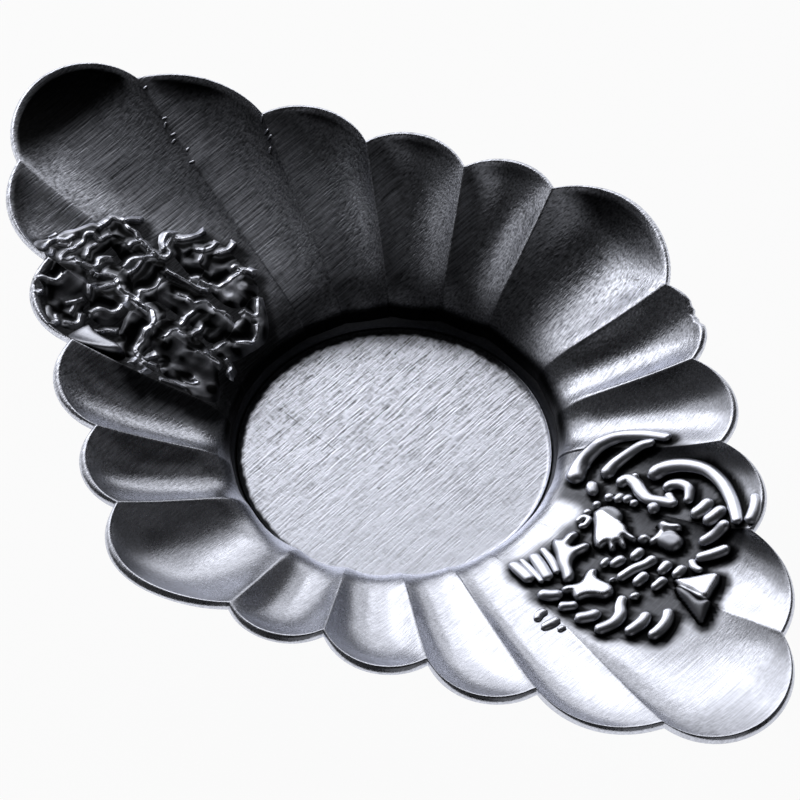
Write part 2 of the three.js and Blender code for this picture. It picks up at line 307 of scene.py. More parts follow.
def tin(name, bright, dark, roughness, depth, grain, cut=0.015, strokes=LONG_STROKES,
        skin_and_shade_from=None, scratches=()):
    """A tin finish, its strokes cut some millimetres deep, its dark skin and painted shade read
    from an attribute.
    """
    material = bpy.data.materials.new(name)
    material.use_nodes = True
    shader = material.node_tree.nodes["Principled BSDF"]
    t = Tree(material.node_tree)
    place = t.scale(t.node("ShaderNodeTexCoord").outputs["Object"], 1 / MM)
    cloud = t.wobble(place, CLOUDS_PER_MM, CLOUD_DETAIL)
    fine = t.wobble(place, GRAINS_PER_MM, GRAIN_DETAIL, PATTERN_ROUGHNESS)
    hatch = 0.0
    for turn, width, length, weight in strokes:
        feeds = {"Vector": place, "Rotation": (0, 0, math.radians(turn))}
        feeds["Scale"] = (width, length, width)
        turned = t.node("ShaderNodeMapping", feeds, vector_type="TEXTURE").outputs[0]
        stroke = t.wobble(turned, 1.0, STROKE_DETAIL, PATTERN_ROUGHNESS)
        hatch = t.math("MULTIPLY_ADD", stroke, weight, hatch)
    to_rubbed = t.vector("DOT_PRODUCT", place, RUBBED_WAY)
    rubbed = t.step(to_rubbed, RUBBED_FROM, RUBBED_TO, 1.0, RUBBED_LEFT)
    hatch, fine = t.math("MULTIPLY", hatch, rubbed), t.math("MULTIPLY", fine, rubbed)
    tone = t.math("MULTIPLY_ADD", cloud, CLOUD_SHARE, 1.0)
    tone = t.math("MULTIPLY_ADD", hatch, depth, tone)
    tone = t.math("MULTIPLY_ADD", fine, grain, tone)
    skin = 0.0
    for start, end, width in scratches:
        broken = t.step(t.noise(place, GAPS_PER_MM), SCRATCH_FROM, SCRATCH_TO)
        mark = t.step(t.to_line(place, start, end), 0.0, width, SCRATCH_SKIN, 0.0)
        skin = t.math("MAXIMUM", skin, t.math("MULTIPLY", mark, broken))
    if skin_and_shade_from:
        stored = t.node("ShaderNodeAttribute", attribute_name=skin_and_shade_from).outputs["Fac"]
        skin = t.math("MAXIMUM", skin, stored)
    level = t.math("MULTIPLY", t.between(bright, dark, skin), tone)
    level = t.math("MINIMUM", level, 1 / max(TIN_TINT))
    parts = [t.math("MULTIPLY", level, share) for share in TIN_TINT]
    colour = t.node("ShaderNodeCombineColor", dict(zip(("Red", "Green", "Blue"), parts))).outputs[0]
    t.feed(shader.inputs["Base Color"], colour)
    shader.inputs["Metallic"].default_value = 1.0
    rough = t.math("MULTIPLY_ADD", fine, GRAIN_ROUGHNESS, roughness)
    rough = t.math("MULTIPLY_ADD", skin, SKIN_ROUGHNESS, rough)
    t.feed(shader.inputs["Roughness"], rough)
    relief = t.math("MULTIPLY_ADD", hatch, depth, t.math("MULTIPLY", fine, grain))
    bump = t.node("ShaderNodeBump", {"Height": relief, "Strength": 1.0, "Distance": cut * MM})
    t.feed(shader.inputs["Normal"], bump.outputs[0])
    return material


# Each scratch: its two ends in plan millimetres and its half width
FLOOR_SCRATCHES = (
    ((-13.6, -5.4), (-5.4, -4.7), 0.14), ((-15.7, -0.3), (-14.9, 4.6), 0.2),
    ((2.4, -4.8), (2.5, -4.7), 0.3),
)
PLATE_NICKS = (
    ((-1.6, 34.0), (-0.6, 34.3), 0.2), ((0.4, 35.6), (1.4, 35.2), 0.2),
    ((3.0, 29.4), (4.0, 29.9), 0.3), ((5.5, 34.2), (5.8, 34.3), 0.25),
    ((4.0, 32.2), (4.3, 32.3), 0.25), ((-0.4, 24.4), (0.1, 24.7), 0.25),
)
aged_tin = tin("aged_tin", bright=0.62, dark=0.004, roughness=0.27, depth=2.6, grain=0.4,
               cut=0.016, skin_and_shade_from="skin", scratches=PLATE_NICKS)
# The well's ring is tin painted nearly black, as painted shade inside the well
dark_tin = tin("dark_tin", bright=0.06, dark=0.01, roughness=0.4, depth=0.5, grain=0.5)
brushed_tin = tin("brushed_tin", bright=0.83, dark=0.03, roughness=0.38, depth=2.7, grain=1.5,
                  cut=0.03, strokes=SHORT_STROKES, skin_and_shade_from="skin", scratches=FLOOR_SCRATCHES)
relief_tin = tin("relief_tin", bright=0.9, dark=0.004, roughness=0.26, depth=0.4, grain=0.2,
                 skin_and_shade_from="skin")
print("finishes:", aged_tin.name, dark_tin.name, brushed_tin.name, relief_tin.name)

# %% [markdown]
# The rim
#
# The rim is a chain of twenty round lobes: one at each tip, one at each side corner and four along
# each side. One rule draws the four quarters, and each has its own shares and bow, because the real
# rim was hammered by hand: some lobes lean, and one is torn. For each point of the rim the cell
# also notes the point of the lip that a flute's ray starts from.

# %% The rim
PLATE_LENGTH = 130.0
PLATE_WIDTH = 80.6
TIP_LOBE = (19.0, 8.3)
TIP_BULGE = 7.8
CORNER_LOBE = (19.9, 5.3)
SIDE_BULGES = (2.7, 3.0, 2.9, 2.4)
# Each quarter: the widths of its four lobes from tip to corner, as shares, and its inward bow
SIDES = {
    (1, 1): ((0.29, 0.25, 0.24, 0.22), -0.3),
    (-1, 1): ((0.305, 0.25, 0.235, 0.21), 0.4),
    (-1, -1): ((0.29, 0.24, 0.25, 0.22), 0.2),
    (1, -1): ((0.29, 0.25, 0.24, 0.22), -0.2),
}
# Lobes that hammering has pushed to one side: how far their first half stands out and the second in
LEANS = {4: -0.35, 9: 0.5, 14: 0.6, 19: 0.3}
LIP_RADIUS = 19.5
RIDGE_EVENING = 0.4
TIP_FLOOR, CORNER_FLOOR = 0.84, 0.58
TIP_SOFTNESS, CORNER_SOFTNESS = 0.4, 0.1
LOBE_STEPS = 36
TEAR_PLACE, TEAR_WIDTH, TEAR_DEPTH = (15.2, 34.6), 1.6, 1.1
TEAR_TEETH, TEAR_WAVES = 0.35, (9, 4)


def quarter_notches(shares, bow):
    """The notches between the lobes of one quarter, from the tip to the side corner."""
    tip = np.array([PLATE_LENGTH / 2 - TIP_LOBE[1], TIP_LOBE[0] / 2])
    corner = np.array([CORNER_LOBE[0] / 2, PLATE_WIDTH / 2 - CORNER_LOBE[1]])
    along = corner - tip
    outward = np.array([along[1], -along[0]]) / np.hypot(*along)
    steps = np.concatenate([[0], np.cumsum(shares)])
    return np.array([tip + along * s - outward * 4 * bow * s * (1 - s) for s in steps])


def lobe_arc(start, end, bulge, lean, steps):
    """Points of a leaning arc from start towards end, and how far across the lobe each one is."""
    chord = end - start
    length = np.hypot(*chord)
    outward = np.array([chord[1], -chord[0]]) / length
    radius = (length**2 / 4 + bulge**2) / (2 * bulge)
    centre = (start + end) / 2 + outward * (bulge - radius)
    first = math.atan2(*(start - centre)[::-1])
    even = np.arange(steps) / steps
    across = (even + (1 - np.cos(np.pi * even)) / 2) / 2
    angles = first + 4 * math.atan(2 * bulge / length) * across
    ways = np.stack([np.cos(angles), np.sin(angles)], 1)
    return centre + (radius + lean * np.sin(2 * np.pi * across))[:, None] * ways, across


notches = np.concatenate([
    quarter_notches(*numbers)[::quarter[0] * quarter[1]] * quarter
    for quarter, numbers in SIDES.items()
])
notch_angles = np.unwrap(np.arctan2(notches[:, 1], notches[:, 0]))
even_angles = (np.arange(len(notches)) + 0.5) / len(notches) * 2 * np.pi
lip_angles = notch_angles + (even_angles - notch_angles) * RIDGE_EVENING
lip_angles = np.append(lip_angles, lip_angles[0] + 2 * np.pi)
bulges = [TIP_BULGE, *SIDE_BULGES, CORNER_LOBE[1]]
# The place of each lobe on its way from the tip, which is 0, to the side corner
CORNER_PLACE, SOFT_PLACES = 5, 3
half_places = [1, 2, 3, 4, 5, 4, 3, 2, 1, 0]

rim, lip, sides, floors, softness = [], [], [], [], []
for index, place in enumerate(half_places * 2):
    following = notches[(index + 1) % len(notches)]
    lean = LEANS.get(index, 0.0)
    points, across = lobe_arc(notches[index], following, bulges[place], lean, LOBE_STEPS)
    angles = lip_angles[index] + (lip_angles[index + 1] - lip_angles[index]) * across
    rim.append(points)
    lip.append(LIP_RADIUS * np.stack([np.cos(angles), np.sin(angles)], 1))
    sides.append(2 * across - 1)
    floor_now = TIP_FLOOR + (CORNER_FLOOR - TIP_FLOOR) * place / CORNER_PLACE
    soft_now = TIP_SOFTNESS + (CORNER_SOFTNESS - TIP_SOFTNESS) * min(place / SOFT_PLACES, 1)
    floors.append(np.full(LOBE_STEPS, floor_now))
    softness.append(np.full(LOBE_STEPS, soft_now))
rows = (rim, lip, sides, floors, softness)
rim, lip, sides, floors, softness = map(np.concatenate, rows)
tear = TEAR_DEPTH * np.exp(-(np.hypot(*(rim - TEAR_PLACE).T) / TEAR_WIDTH) ** 2)
tear *= 1 + TEAR_TEETH * np.prod([np.sin(wave * rim[:, 0]) for wave in TEAR_WAVES], axis=0)
print("rim:", len(notches), "lobes,", len(rim), "points, reach", rim.max(0).round(2), "mm")

# %% [markdown]
# The section of the sheet
#
# A cut through the sheet is a long thin loop: along the top from the lip to the rim, round the
# rim's edge, back along the underside and round the lip. Each point of the loop has a share of the
# way to the rim, a depth below the top and a little reach past the edge.

# %% The section of the sheet
SHEET = 1.1
RIM_ROUND = 0.3
LIP_ROUND = 0.3
TOP_ROWS, EDGE_ROWS, UNDER_ROWS = 66, 8, 16


def section_rows():
    """Rows of (share, reach, depth) round the sheet's section, reach and depth in millimetres."""
    even = np.linspace(0, 1, TOP_ROWS)
    eased = (even + (1 - np.cos(np.pi * even)) / 2) / 2
    turns = np.linspace(0, np.pi, EDGE_ROWS + 2)[1:-1]
    rows = [(share, -RIM_ROUND * share, 0.0) for share in eased]
    rows += [(1.0, RIM_ROUND * (math.sin(a) - 1), SHEET * (1 - math.cos(a)) / 2) for a in turns]
    rows += [(share, -RIM_ROUND * share, SHEET) for share in np.linspace(1, 0, UNDER_ROWS)]
    rows += [(0.0, -LIP_ROUND * math.sin(a), SHEET * (1 + math.cos(a)) / 2) for a in turns]
    return np.array(rows)


def points_with(name, places, **attributes):
    """A helper mesh of loose points that carry numbers for a Geometry Nodes tree to read."""
    mesh = bpy.data.meshes.new(name)
    mesh.from_pydata([tuple(p) for p in places], [], [])
    for key, values in attributes.items():
        values = np.asarray(values, dtype=np.float32)
        kind = "FLOAT" if values.ndim == 1 else "FLOAT_VECTOR"
        stored = mesh.attributes.new(key, kind, "POINT")
        stored.data.foreach_set("value" if values.ndim == 1 else "vector", values.ravel())
    return bpy.data.objects.new(name, mesh)


def flat(points):
    """Plan points in millimetres as places in metres."""
    return np.column_stack([points, np.zeros(len(points))]) * MM


section = section_rows()
rim_points = points_with("rim_points", flat(rim), lip=flat(lip), side=sides, floor_share=floors,
                         softness=softness, tear=tear * MM)
section_points = points_with(
    "section_points", np.zeros((len(section), 3)),
    share=section[:, 0], reach=section[:, 1] * MM, depth=section[:, 2] * MM,
)
print("section:", len(section), "points round a sheet of", SHEET, "mm")

# %% [markdown]
# The fluted plate
#
# Every point of the plate follows one rule, so Geometry Nodes make it: a grid has a column for each
# point of the rim and a row for each point of the section. A flute is scooped: its floor rises
# slowly and turns up just before the rim, while the ridge beside it runs straight. The sheet's
# thickness is laid off square to the ray, so the rim's edge is cut square to the sheet as on the
# real one.

# %% The rule of a flute
PLATE_RISE = 8.4
UPTURN = 3.4
LIP_WAVE = 0.8
SHOULDER_REACH = 4.6
SHOULDER_DROP = 2.6
# A ridge gets sharper towards the rim, and a flattened one keeps an even height
RIDGE_FADE, FLAT_RIDGE = 1.6, 0.3
# The ridges fade under the sprays: a centre and a radius in plan millimetres, and how far they fade
SPRAYS = (((33.5, 6.5), 20.0, 1.0), ((-33.5, -8.5), 16.0, 0.5))
SPRAY_CORE = 0.55


def group(name, inputs, outputs):
    """A new Geometry Nodes group with named sockets, and the helper that fills it."""
    tree = bpy.data.node_groups.new(name, "GeometryNodeTree")
    for direction, sockets in (("INPUT", inputs), ("OUTPUT", outputs)):
        for label, kind in sockets:
            tree.interface.new_socket(label, in_out=direction, socket_type=kind)
    t = Tree(tree)
    return t, t.node("NodeGroupInput").outputs, t.node("NodeGroupOutput")


FLOAT, INTEGER, GEOMETRY = "NodeSocketFloat", "NodeSocketInt", "NodeSocketGeometry"
OBJECT, MATERIAL = "NodeSocketObject", "NodeSocketMaterial"
POINT_INPUTS = ("Share", "Run", "Side", "Floor share", "Softness", "Calm")
RULE_INPUTS = ("Rise", "Upturn", "Lip wave", "Shoulder reach", "Shoulder drop")

t, given, result = group(
    "flute_height",
    [(label, FLOAT) for label in (*POINT_INPUTS, *RULE_INPUTS)],
    [("Height", FLOAT)],
)
to_ridge = t.math("SUBTRACT", 1.0, t.math("ABSOLUTE", given["Side"]))
round_share = t.math("MULTIPLY", given["Softness"], t.math("SUBTRACT", RIDGE_FADE, given["Share"]))
squares = (t.math("POWER", part, 2.0) for part in (to_ridge, round_share))
rounded_off = t.math("SQRT", t.math("ADD", *squares))
sharp = t.math("POWER", t.math("MAXIMUM", t.math("SUBTRACT", 1.0, rounded_off), 0.0), 2.0)
ridge = t.between(sharp, FLAT_RIDGE, given["Calm"])
steep = t.math("POWER", given["Share"], t.math("DIVIDE", given["Run"], given["Upturn"]))
scoop = t.between(steep, given["Share"], given["Floor share"])
rise = t.math("MULTIPLY", given["Rise"], t.between(scoop, given["Share"], ridge))
to_rim = t.math("SUBTRACT", 1.0, given["Share"])
wave = t.math("MULTIPLY", t.math("MULTIPLY", given["Lip wave"], ridge), to_rim)
far = t.math("DIVIDE", t.math("MULTIPLY", given["Share"], given["Run"]), given["Shoulder reach"])
near = t.math("SUBTRACT", 1.0, t.math("MINIMUM", far, 1.0))
level = t.math("SQRT", t.math("SUBTRACT", 1.0, t.math("MULTIPLY", near, near)))
drop = t.math("MULTIPLY", given["Shoulder drop"], t.math("SUBTRACT", 1.0, level))
t.feed(result.inputs["Height"], t.math("SUBTRACT", t.math("ADD", rise, wave), drop))
flute_height = t.tree
print("flute_height:", len(flute_height.nodes), "nodes")

# %% Helpers for the trees
SEAM = 0.001


def sample(t, geometry, index, attribute=None, vector=False):
    """The value of a helper point's attribute, or its position, at an index."""
    kind = "FLOAT_VECTOR" if vector else "FLOAT"
    value = t.attribute(attribute, kind) if attribute else t.place()
    feeds = {"Geometry": geometry, "Value": value, "Index": index}
    return t.node("GeometryNodeSampleIndex", feeds, data_type=kind).outputs["Value"]


def closed_and_dented(t, grid, position, dents_per_mm, dents):
    """Puts a grid's points in place, closes its seam and lifts the surface by a soft noise."""
    shaped = t.node("GeometryNodeSetPosition", {"Geometry": grid, "Position": position}).outputs[0]
    feeds = {"Geometry": shaped, "Distance": SEAM * MM}
    closed = t.node("GeometryNodeMergeByDistance", feeds).outputs[0]
    dent = t.math("MULTIPLY", t.wobble(t.scale(t.place(), 1 / MM), dents_per_mm), dents)
    feeds = {"Geometry": closed, "Offset": t.scale((0, 0, 1), dent)}
    return t.node("GeometryNodeSetPosition", feeds).outputs[0]


def end_tree(t, geometry, given, result):
    """Ends a tree: smooth shading, real geometry and the finish."""
    smooth = t.node("GeometryNodeSetShadeSmooth", {"Geometry": geometry}).outputs[0]
    real = t.node("GeometryNodeRealizeInstances", {"Geometry": smooth}).outputs[0]
    feeds = {"Geometry": real, "Material": given["Material"]}
    t.feed(result.inputs["Geometry"], t.node("GeometryNodeSetMaterial", feeds).outputs[0])
    print(t.tree.name + ":", len(t.tree.nodes), "nodes")
    return t.tree


# %% The plate's tree
SLOPE_STEP = 0.01
TEAR_FADE = 16.0
PLATE_DENT, PLATE_DENTS_PER_MM = 0.25, 0.11

t, given, result = group(
    "fluted_plate",
    [("Geometry", GEOMETRY), ("Rim", OBJECT), ("Section", OBJECT), ("Columns", INTEGER),
     ("Rows", INTEGER), ("Lip height", FLOAT), *((label, FLOAT) for label in RULE_INPUTS),
     ("Dents", FLOAT), ("Material", MATERIAL)],
    [("Geometry", GEOMETRY)],
)
rim_geometry, section_geometry = t.shape_of(given["Rim"]), t.shape_of(given["Section"])
around, along = (t.math("ADD", given[count], 1) for count in ("Columns", "Rows"))
grid = t.node("GeometryNodeMeshGrid", {"Vertices X": around, "Vertices Y": along}).outputs["Mesh"]
index = t.node("GeometryNodeInputIndex").outputs[0]
column = t.math("FLOOR", t.math("DIVIDE", t.math("ADD", index, 0.5), along))
column = t.math("MODULO", column, given["Columns"])
row = t.math("MODULO", t.math("MODULO", index, along), given["Rows"])
rim_at = sample(t, rim_geometry, column, vector=True)
lip_at = sample(t, rim_geometry, column, "lip", vector=True)
side, floor_share, softness_at, tear_at = (
    sample(t, rim_geometry, column, key) for key in ("side", "floor_share", "softness", "tear")
)
share, reach, depth = (sample(t, section_geometry, row, key) for key in ("share", "reach", "depth"))
ray = t.vector("SUBTRACT", rim_at, lip_at)
plan_at = t.vector("ADD", lip_at, t.scale(ray, share))
calm = 0.0
for centre, radius, amount in SPRAYS:
    away = t.vector("LENGTH", t.vector("SUBTRACT", plan_at, tuple(c * MM for c in (*centre, 0))))
    fading = t.step(away, SPRAY_CORE * radius * MM, radius * MM, amount, 0.0)
    calm = t.math("MAXIMUM", calm, fading)
run = t.vector("LENGTH", ray)


def height_at(share):
    """The height of the flute above the lip at a share of the way to the rim."""
    feeds = dict(zip(POINT_INPUTS, (share, run, side, floor_share, softness_at, calm)))
    feeds |= {key: given[key] for key in RULE_INPUTS}
    made = t.node("GeometryNodeGroup", node_tree=flute_height)
    for key, value in feeds.items():
        t.feed(made.inputs[key], value)
    return made.outputs["Height"]


before = t.math("MAXIMUM", t.math("SUBTRACT", share, SLOPE_STEP), 0.0)
after = t.math("MINIMUM", t.math("ADD", share, SLOPE_STEP), 1.0)
climb = t.math("SUBTRACT", height_at(after), height_at(before))
slope = t.math("ARCTAN2", climb, t.math("MULTIPLY", run, t.math("SUBTRACT", after, before)))
outward = t.vector("NORMALIZE", ray)
upward = (0, 0, 1)
sine, cosine = t.math("SINE", slope), t.math("COSINE", slope)
tangent = t.vector("ADD", t.scale(outward, cosine), t.scale(upward, sine))
normal = t.vector("SUBTRACT", t.scale(upward, cosine), t.scale(outward, sine))
height = t.math("ADD", given["Lip height"], height_at(share))
place = t.vector("ADD", plan_at, t.scale(upward, height))
torn = t.math("MULTIPLY", tear_at, t.math("POWER", share, TEAR_FADE))
place = t.vector("ADD", place, t.scale(tangent, t.math("SUBTRACT", reach, torn)))
place = t.vector("SUBTRACT", place, t.scale(normal, depth))
dented = closed_and_dented(t, grid, place, PLATE_DENTS_PER_MM, given["Dents"])
plate_tree = end_tree(t, dented, given, result)

# %% The plate


def grow(name, tree, inputs, source=None):
    """Runs a Geometry Nodes tree and gives its result as a plain mesh object at the origin."""
    holder = bpy.data.objects.new(name + "_nodes", source or bpy.data.meshes.new(name + "_source"))
    bpy.context.scene.collection.objects.link(holder)
    modifier = holder.modifiers.new("nodes", "NODES")
    modifier.node_group = tree
    for item in tree.interface.items_tree:
        if item.in_out == "INPUT" and item.name in inputs:
            modifier[item.identifier] = inputs[item.name]
    evaluated = holder.evaluated_get(bpy.context.evaluated_depsgraph_get())
    mesh = bpy.data.meshes.new_from_object(evaluated)
    bpy.data.objects.remove(holder)
    mesh.name = name
    piece = bpy.data.objects.new(name, mesh)
    bpy.context.scene.collection.objects.link(piece)
    return piece


def outward_faces(piece):
    """Turns a closed piece's faces outwards if its volume comes out negative."""
    shape = bmesh.new()
    shape.from_mesh(piece.data)
    if shape.calc_volume(signed=True) < 0:
        bmesh.ops.reverse_faces(shape, faces=shape.faces[:])
    open_edges = sum(1 for edge in shape.edges if not edge.is_manifold)
    volume = shape.calc_volume(signed=True) / MM**3
    shape.to_mesh(piece.data)
    shape.free()
    count = len(piece.data.polygons)
    print(f"{piece.name}: {count} faces, {volume:.1f} mm3, {open_edges} open edges")


def fit(piece, slot, *nodes):
    """The finished piece rides the one body and stands for its solids."""
    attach(piece, "root")
    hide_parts(*nodes)


plate = grow("plate", plate_tree, {
    "Rim": rim_points, "Section": section_points, "Columns": len(rim), "Rows": len(section),
    "Lip height": LIP_HEIGHT * MM, "Rise": PLATE_RISE * MM, "Upturn": UPTURN * MM,
    "Lip wave": LIP_WAVE * MM, "Shoulder reach": SHOULDER_REACH * MM,
    "Shoulder drop": SHOULDER_DROP * MM, "Dents": PLATE_DENT * MM, "Material": aged_tin,
})
outward_faces(plate)
fit(plate, "aged_tin", "fluted_plate")

# %% [markdown]
# The well
#
# The wall of the well and its floor are turned pieces: a profile swept once round the axis. The
# wall leans in as it goes down and its foot is what the saucer stands on. The floor is a flat
# brushed disc with a small turned-up edge. A painted shade under the wall keeps that edge dark and
# ragged on the left.

# %% The well
RING_STEPS = 192
RING_DENTS_PER_MM = 0.35
FLOOR_TOP, FLOOR_UNDER = 2.0, 0.95
FLOOR_RADIUS = 18.8

t, given, result = group(
    "turned_piece",
    [("Geometry", GEOMETRY), ("Profile", OBJECT), ("Rows", INTEGER), ("Steps", INTEGER),
     ("Dents", FLOAT), ("Material", MATERIAL)],
    [("Geometry", GEOMETRY)],
)
counts = {"Vertices X": t.math("ADD", given["Steps"], 1), "Vertices Y": given["Rows"]}
grid = t.node("GeometryNodeMeshGrid", counts).outputs["Mesh"]
index = t.node("GeometryNodeInputIndex").outputs[0]
column = t.math("FLOOR", t.math("DIVIDE", t.math("ADD", index, 0.5), given["Rows"]))
row = t.math("MODULO", index, given["Rows"])
spot = sample(t, t.shape_of(given["Profile"]), row, vector=True)
angle = t.math("DIVIDE", t.math("MULTIPLY", column, 2 * math.pi), given["Steps"])
feeds = {"Vector": spot, "Axis": (0, 0, 1), "Angle": angle}
turned = t.node("ShaderNodeVectorRotate", feeds).outputs[0]
dented = closed_and_dented(t, grid, turned, RING_DENTS_PER_MM, given["Dents"])
turned_tree = end_tree(t, dented, given, result)


def turned_piece(name, profile, dents, material):
    """Turns a profile of (radius, height) points in millimetres round the axis."""
    places = [(radius * MM, 0, height * MM) for radius, height in profile]
    piece = grow(name, turned_tree, {
        "Profile": points_with(name + "_profile", places), "Rows": len(profile),
        "Steps": RING_STEPS, "Dents": dents * MM, "Material": material,
    })
    outward_faces(piece)
    return piece


def wall_curve(top, bend, bottom, steps):
    """A curved wall from top to bottom that leans towards bend on its way."""
    shares = np.linspace(0, 1, steps)[:, None]
    return (1 - shares) ** 2 * top + 2 * shares * (1 - shares) * bend + shares**2 * bottom


WALL_TOP, WALL_BEND, WALL_STEPS = np.array([20.3, 3.7]), np.array([19.2, 3.3]), 16
wall = wall_curve(WALL_TOP, WALL_BEND, np.array([FLOOR_RADIUS, FLOOR_TOP]), WALL_STEPS)
# The foot, the outside, the flange under the plate, the wall inside and the ledge for the floor
ring_profile = [
    (16.5, 0.0), (16.9, 0.0), (19.4, 0.0), (19.9, 0.05), (20.2, 0.4), (21.0, 2.0), (21.9, 3.4),
    (23.6, 3.4), (24.0, 3.5), (24.0, 4.2), (23.8, 4.3), (21.6, 4.1), *map(tuple, wall),
    (FLOOR_RADIUS, 1.2), (FLOOR_RADIUS, 0.9), (16.5, 0.9), (16.5, 0.0),
]
well_wall = turned_piece("well_wall", ring_profile, 0.0, dark_tin)
fit(well_wall, "dark_tin", "well_ring")

# %% The floor of the well
DISC_PLAY, DISC_DENT, DISC_STEPS = 0.05, 0.06, 56
FILLET, FILLET_TURN, FILLET_STEPS = 0.6, 0.42 * np.pi, 8
disc_edge = FLOOR_RADIUS - DISC_PLAY
flat_edge = disc_edge - FILLET
disc_profile = [(radius, FLOOR_TOP) for radius in np.linspace(0, flat_edge, DISC_STEPS)]
disc_profile += [
    (flat_edge + FILLET * math.sin(a), FLOOR_TOP + FILLET * (1 - math.cos(a)))
    for a in np.linspace(0, FILLET_TURN, FILLET_STEPS)[1:]
]
disc_profile += [(disc_edge, FLOOR_TOP)]
disc_profile += [(radius, FLOOR_UNDER) for radius in (disc_edge, FLOOR_RADIUS / 2, 0.0)]
well_disc = turned_piece("well_disc", disc_profile, DISC_DENT, brushed_tin)
fit(well_disc, "brushed_tin", "well_floor")


def plan_points(piece):
    """The plan points of a piece's vertices in millimetres."""
    places = np.empty(len(piece.data.vertices) * 3)
    piece.data.vertices.foreach_get("co", places)
    return places.reshape(-1, 3)[:, :2] / MM


def ease(value, low, high):
    """A smooth step from 0 at low to 1 at high."""
    share = np.clip((value - low) / (high - low), 0, 1)
    return share * share * (3 - 2 * share)


def keep_skin_and_shade(piece, skin):
    """Stores how much dark skin and painted shade each point of a piece has, for its finish to
    read.
    """
    stored = piece.data.attributes.new("skin", "FLOAT", "POINT")
    stored.data.foreach_set("value", skin.astype(np.float32))


# The painted shade at the edge: how ragged it is, how far from the rim it starts and is black, and
# on which side
RAGGED, RAGGED_WAVES = 0.15, (23, 41)
EDGE_FROM, EDGE_BLACK = 0.8, 0.45
EDGE_SIDE = (-0.45, 0.15)
spots = plan_points(well_disc)
radius = np.maximum(np.hypot(*spots.T), 1e-6)
around = np.arctan2(spots[:, 1], spots[:, 0])
ragged = RAGGED * np.prod([np.sin(wave * around) for wave in RAGGED_WAVES], axis=0)
edge_shade = ease(radius + ragged, disc_edge - EDGE_FROM, disc_edge - EDGE_BLACK)
keep_skin_and_shade(well_disc, edge_shade * ease(-spots[:, 0] / radius, *EDGE_SIDE))

# %% [markdown]
# Strands of the right spray
#
# The right spray is a casting of plumes, ribs and beads. Each is a tapered strand that lies on the
# plate, so one Geometry Nodes tree makes them all: it rounds a drawn line into a curve, lets it
# down on the plate with a ray, and sweeps an oval along it. The tops are rubbed bright, and the
# flanks that face away from the window are painted black as shade. The tree stores this skin and
# shade as a number for the finish.

# %% The strand tree
# The way that polished tops face, towards the window, how nearly a surface has to face it, and the
# skin left there; flanks that face away from it are painted black as shade
LIT_SIDE_WAY = (-0.45, -0.1, 0.89)
LIT_FROM, LIT_TO, LIT_TOP_SKIN = -0.1, 0.6, 0.12
# Rays go down to the plate from this height in metres
RAY_HEIGHT, RAY_LENGTH = 0.05, 0.1
EVENING_ROUNDS = 4
SMALLEST_CAP = 0.03
OVAL_SIDES = 16

t, given, result = group(
    "strands",
    [("Geometry", GEOMETRY), ("Plate", OBJECT), ("Spacing", FLOAT), ("Lift", FLOAT),
     ("Flatten", FLOAT), ("Material", MATERIAL)],
    [("Geometry", GEOMETRY)],
)
lines = t.node("GeometryNodeMeshToCurve", {"Mesh": given["Geometry"]}).outputs[0]
feeds = {"Curve": lines}
curved = t.node("GeometryNodeCurveSplineType", feeds, spline_type="CATMULL_ROM").outputs[0]
feeds = {"Curve": curved, "Length": given["Spacing"]}
stepped = t.node("GeometryNodeResampleCurve", feeds, mode="LENGTH").outputs[0]
in_plan = t.vector("MULTIPLY", t.place(), (1, 1, 0))
hit = t.node("GeometryNodeRaycast", {
    "Target Geometry": t.shape_of(given["Plate"]), "Ray Direction": (0, 0, -1),
    "Source Position": t.vector("ADD", in_plan, (0, 0, RAY_HEIGHT)), "Ray Length": RAY_LENGTH,
}).outputs["Hit Position"]
level = t.node("ShaderNodeSeparateXYZ", {"Vector": hit}).outputs["Z"]
feeds = {"Value": level, "Iterations": EVENING_ROUNDS}
even = t.node("GeometryNodeBlurAttribute", feeds, data_type="FLOAT").outputs[0]
lifted = t.node("ShaderNodeCombineXYZ", {"Z": t.math("ADD", even, given["Lift"])}).outputs[0]
feeds = {"Geometry": stepped, "Position": t.vector("ADD", in_plan, lifted)}
laid = t.node("GeometryNodeSetPosition", feeds).outputs[0]
upright = t.node("GeometryNodeSetCurveNormal", {"Curve": laid}, mode="Z_UP").outputs[0]
thickness = t.attribute("thickness")
passed = t.node("GeometryNodeSplineParameter").outputs["Length"]
whole = t.node("GeometryNodeSplineLength").outputs["Length"]
to_end = t.math("MINIMUM", passed, t.math("SUBTRACT", whole, passed))
near = t.math("SUBTRACT", 1.0, t.math("MINIMUM", t.math("DIVIDE", to_end, thickness), 1.0))
cap = t.math("SQRT", t.math("SUBTRACT", 1.0, t.math("MULTIPLY", near, near)))
radius = t.math("MULTIPLY", thickness, t.math("MAXIMUM", cap, SMALLEST_CAP))
feeds = {"Resolution": OVAL_SIDES, "Radius": 1.0}
circle = t.node("GeometryNodeCurvePrimitiveCircle", feeds).outputs[0]
flattened = t.node("ShaderNodeCombineXYZ", {"X": 1.0, "Y": given["Flatten"], "Z": 1.0}).outputs[0]
oval = t.node("GeometryNodeTransform", {"Geometry": circle, "Scale": flattened}).outputs[0]
tubes = t.node("GeometryNodeCurveToMesh", {
    "Curve": upright, "Profile Curve": oval, "Scale": radius, "Fill Caps": True,
}).outputs[0]
# Painted shade: the stored skin is black on flanks that face away from the window
facing = t.vector("DOT_PRODUCT", t.node("GeometryNodeInputNormal").outputs[0], LIT_SIDE_WAY)
skinned_and_shaded = t.node("GeometryNodeStoreNamedAttribute", {
    "Geometry": tubes, "Name": "skin",
    "Value": t.step(facing, LIT_FROM, LIT_TO, 1.0, LIT_TOP_SKIN),
}, data_type="FLOAT", domain="POINT").outputs[0]
strand_tree = end_tree(t, skinned_and_shaded, given, result)

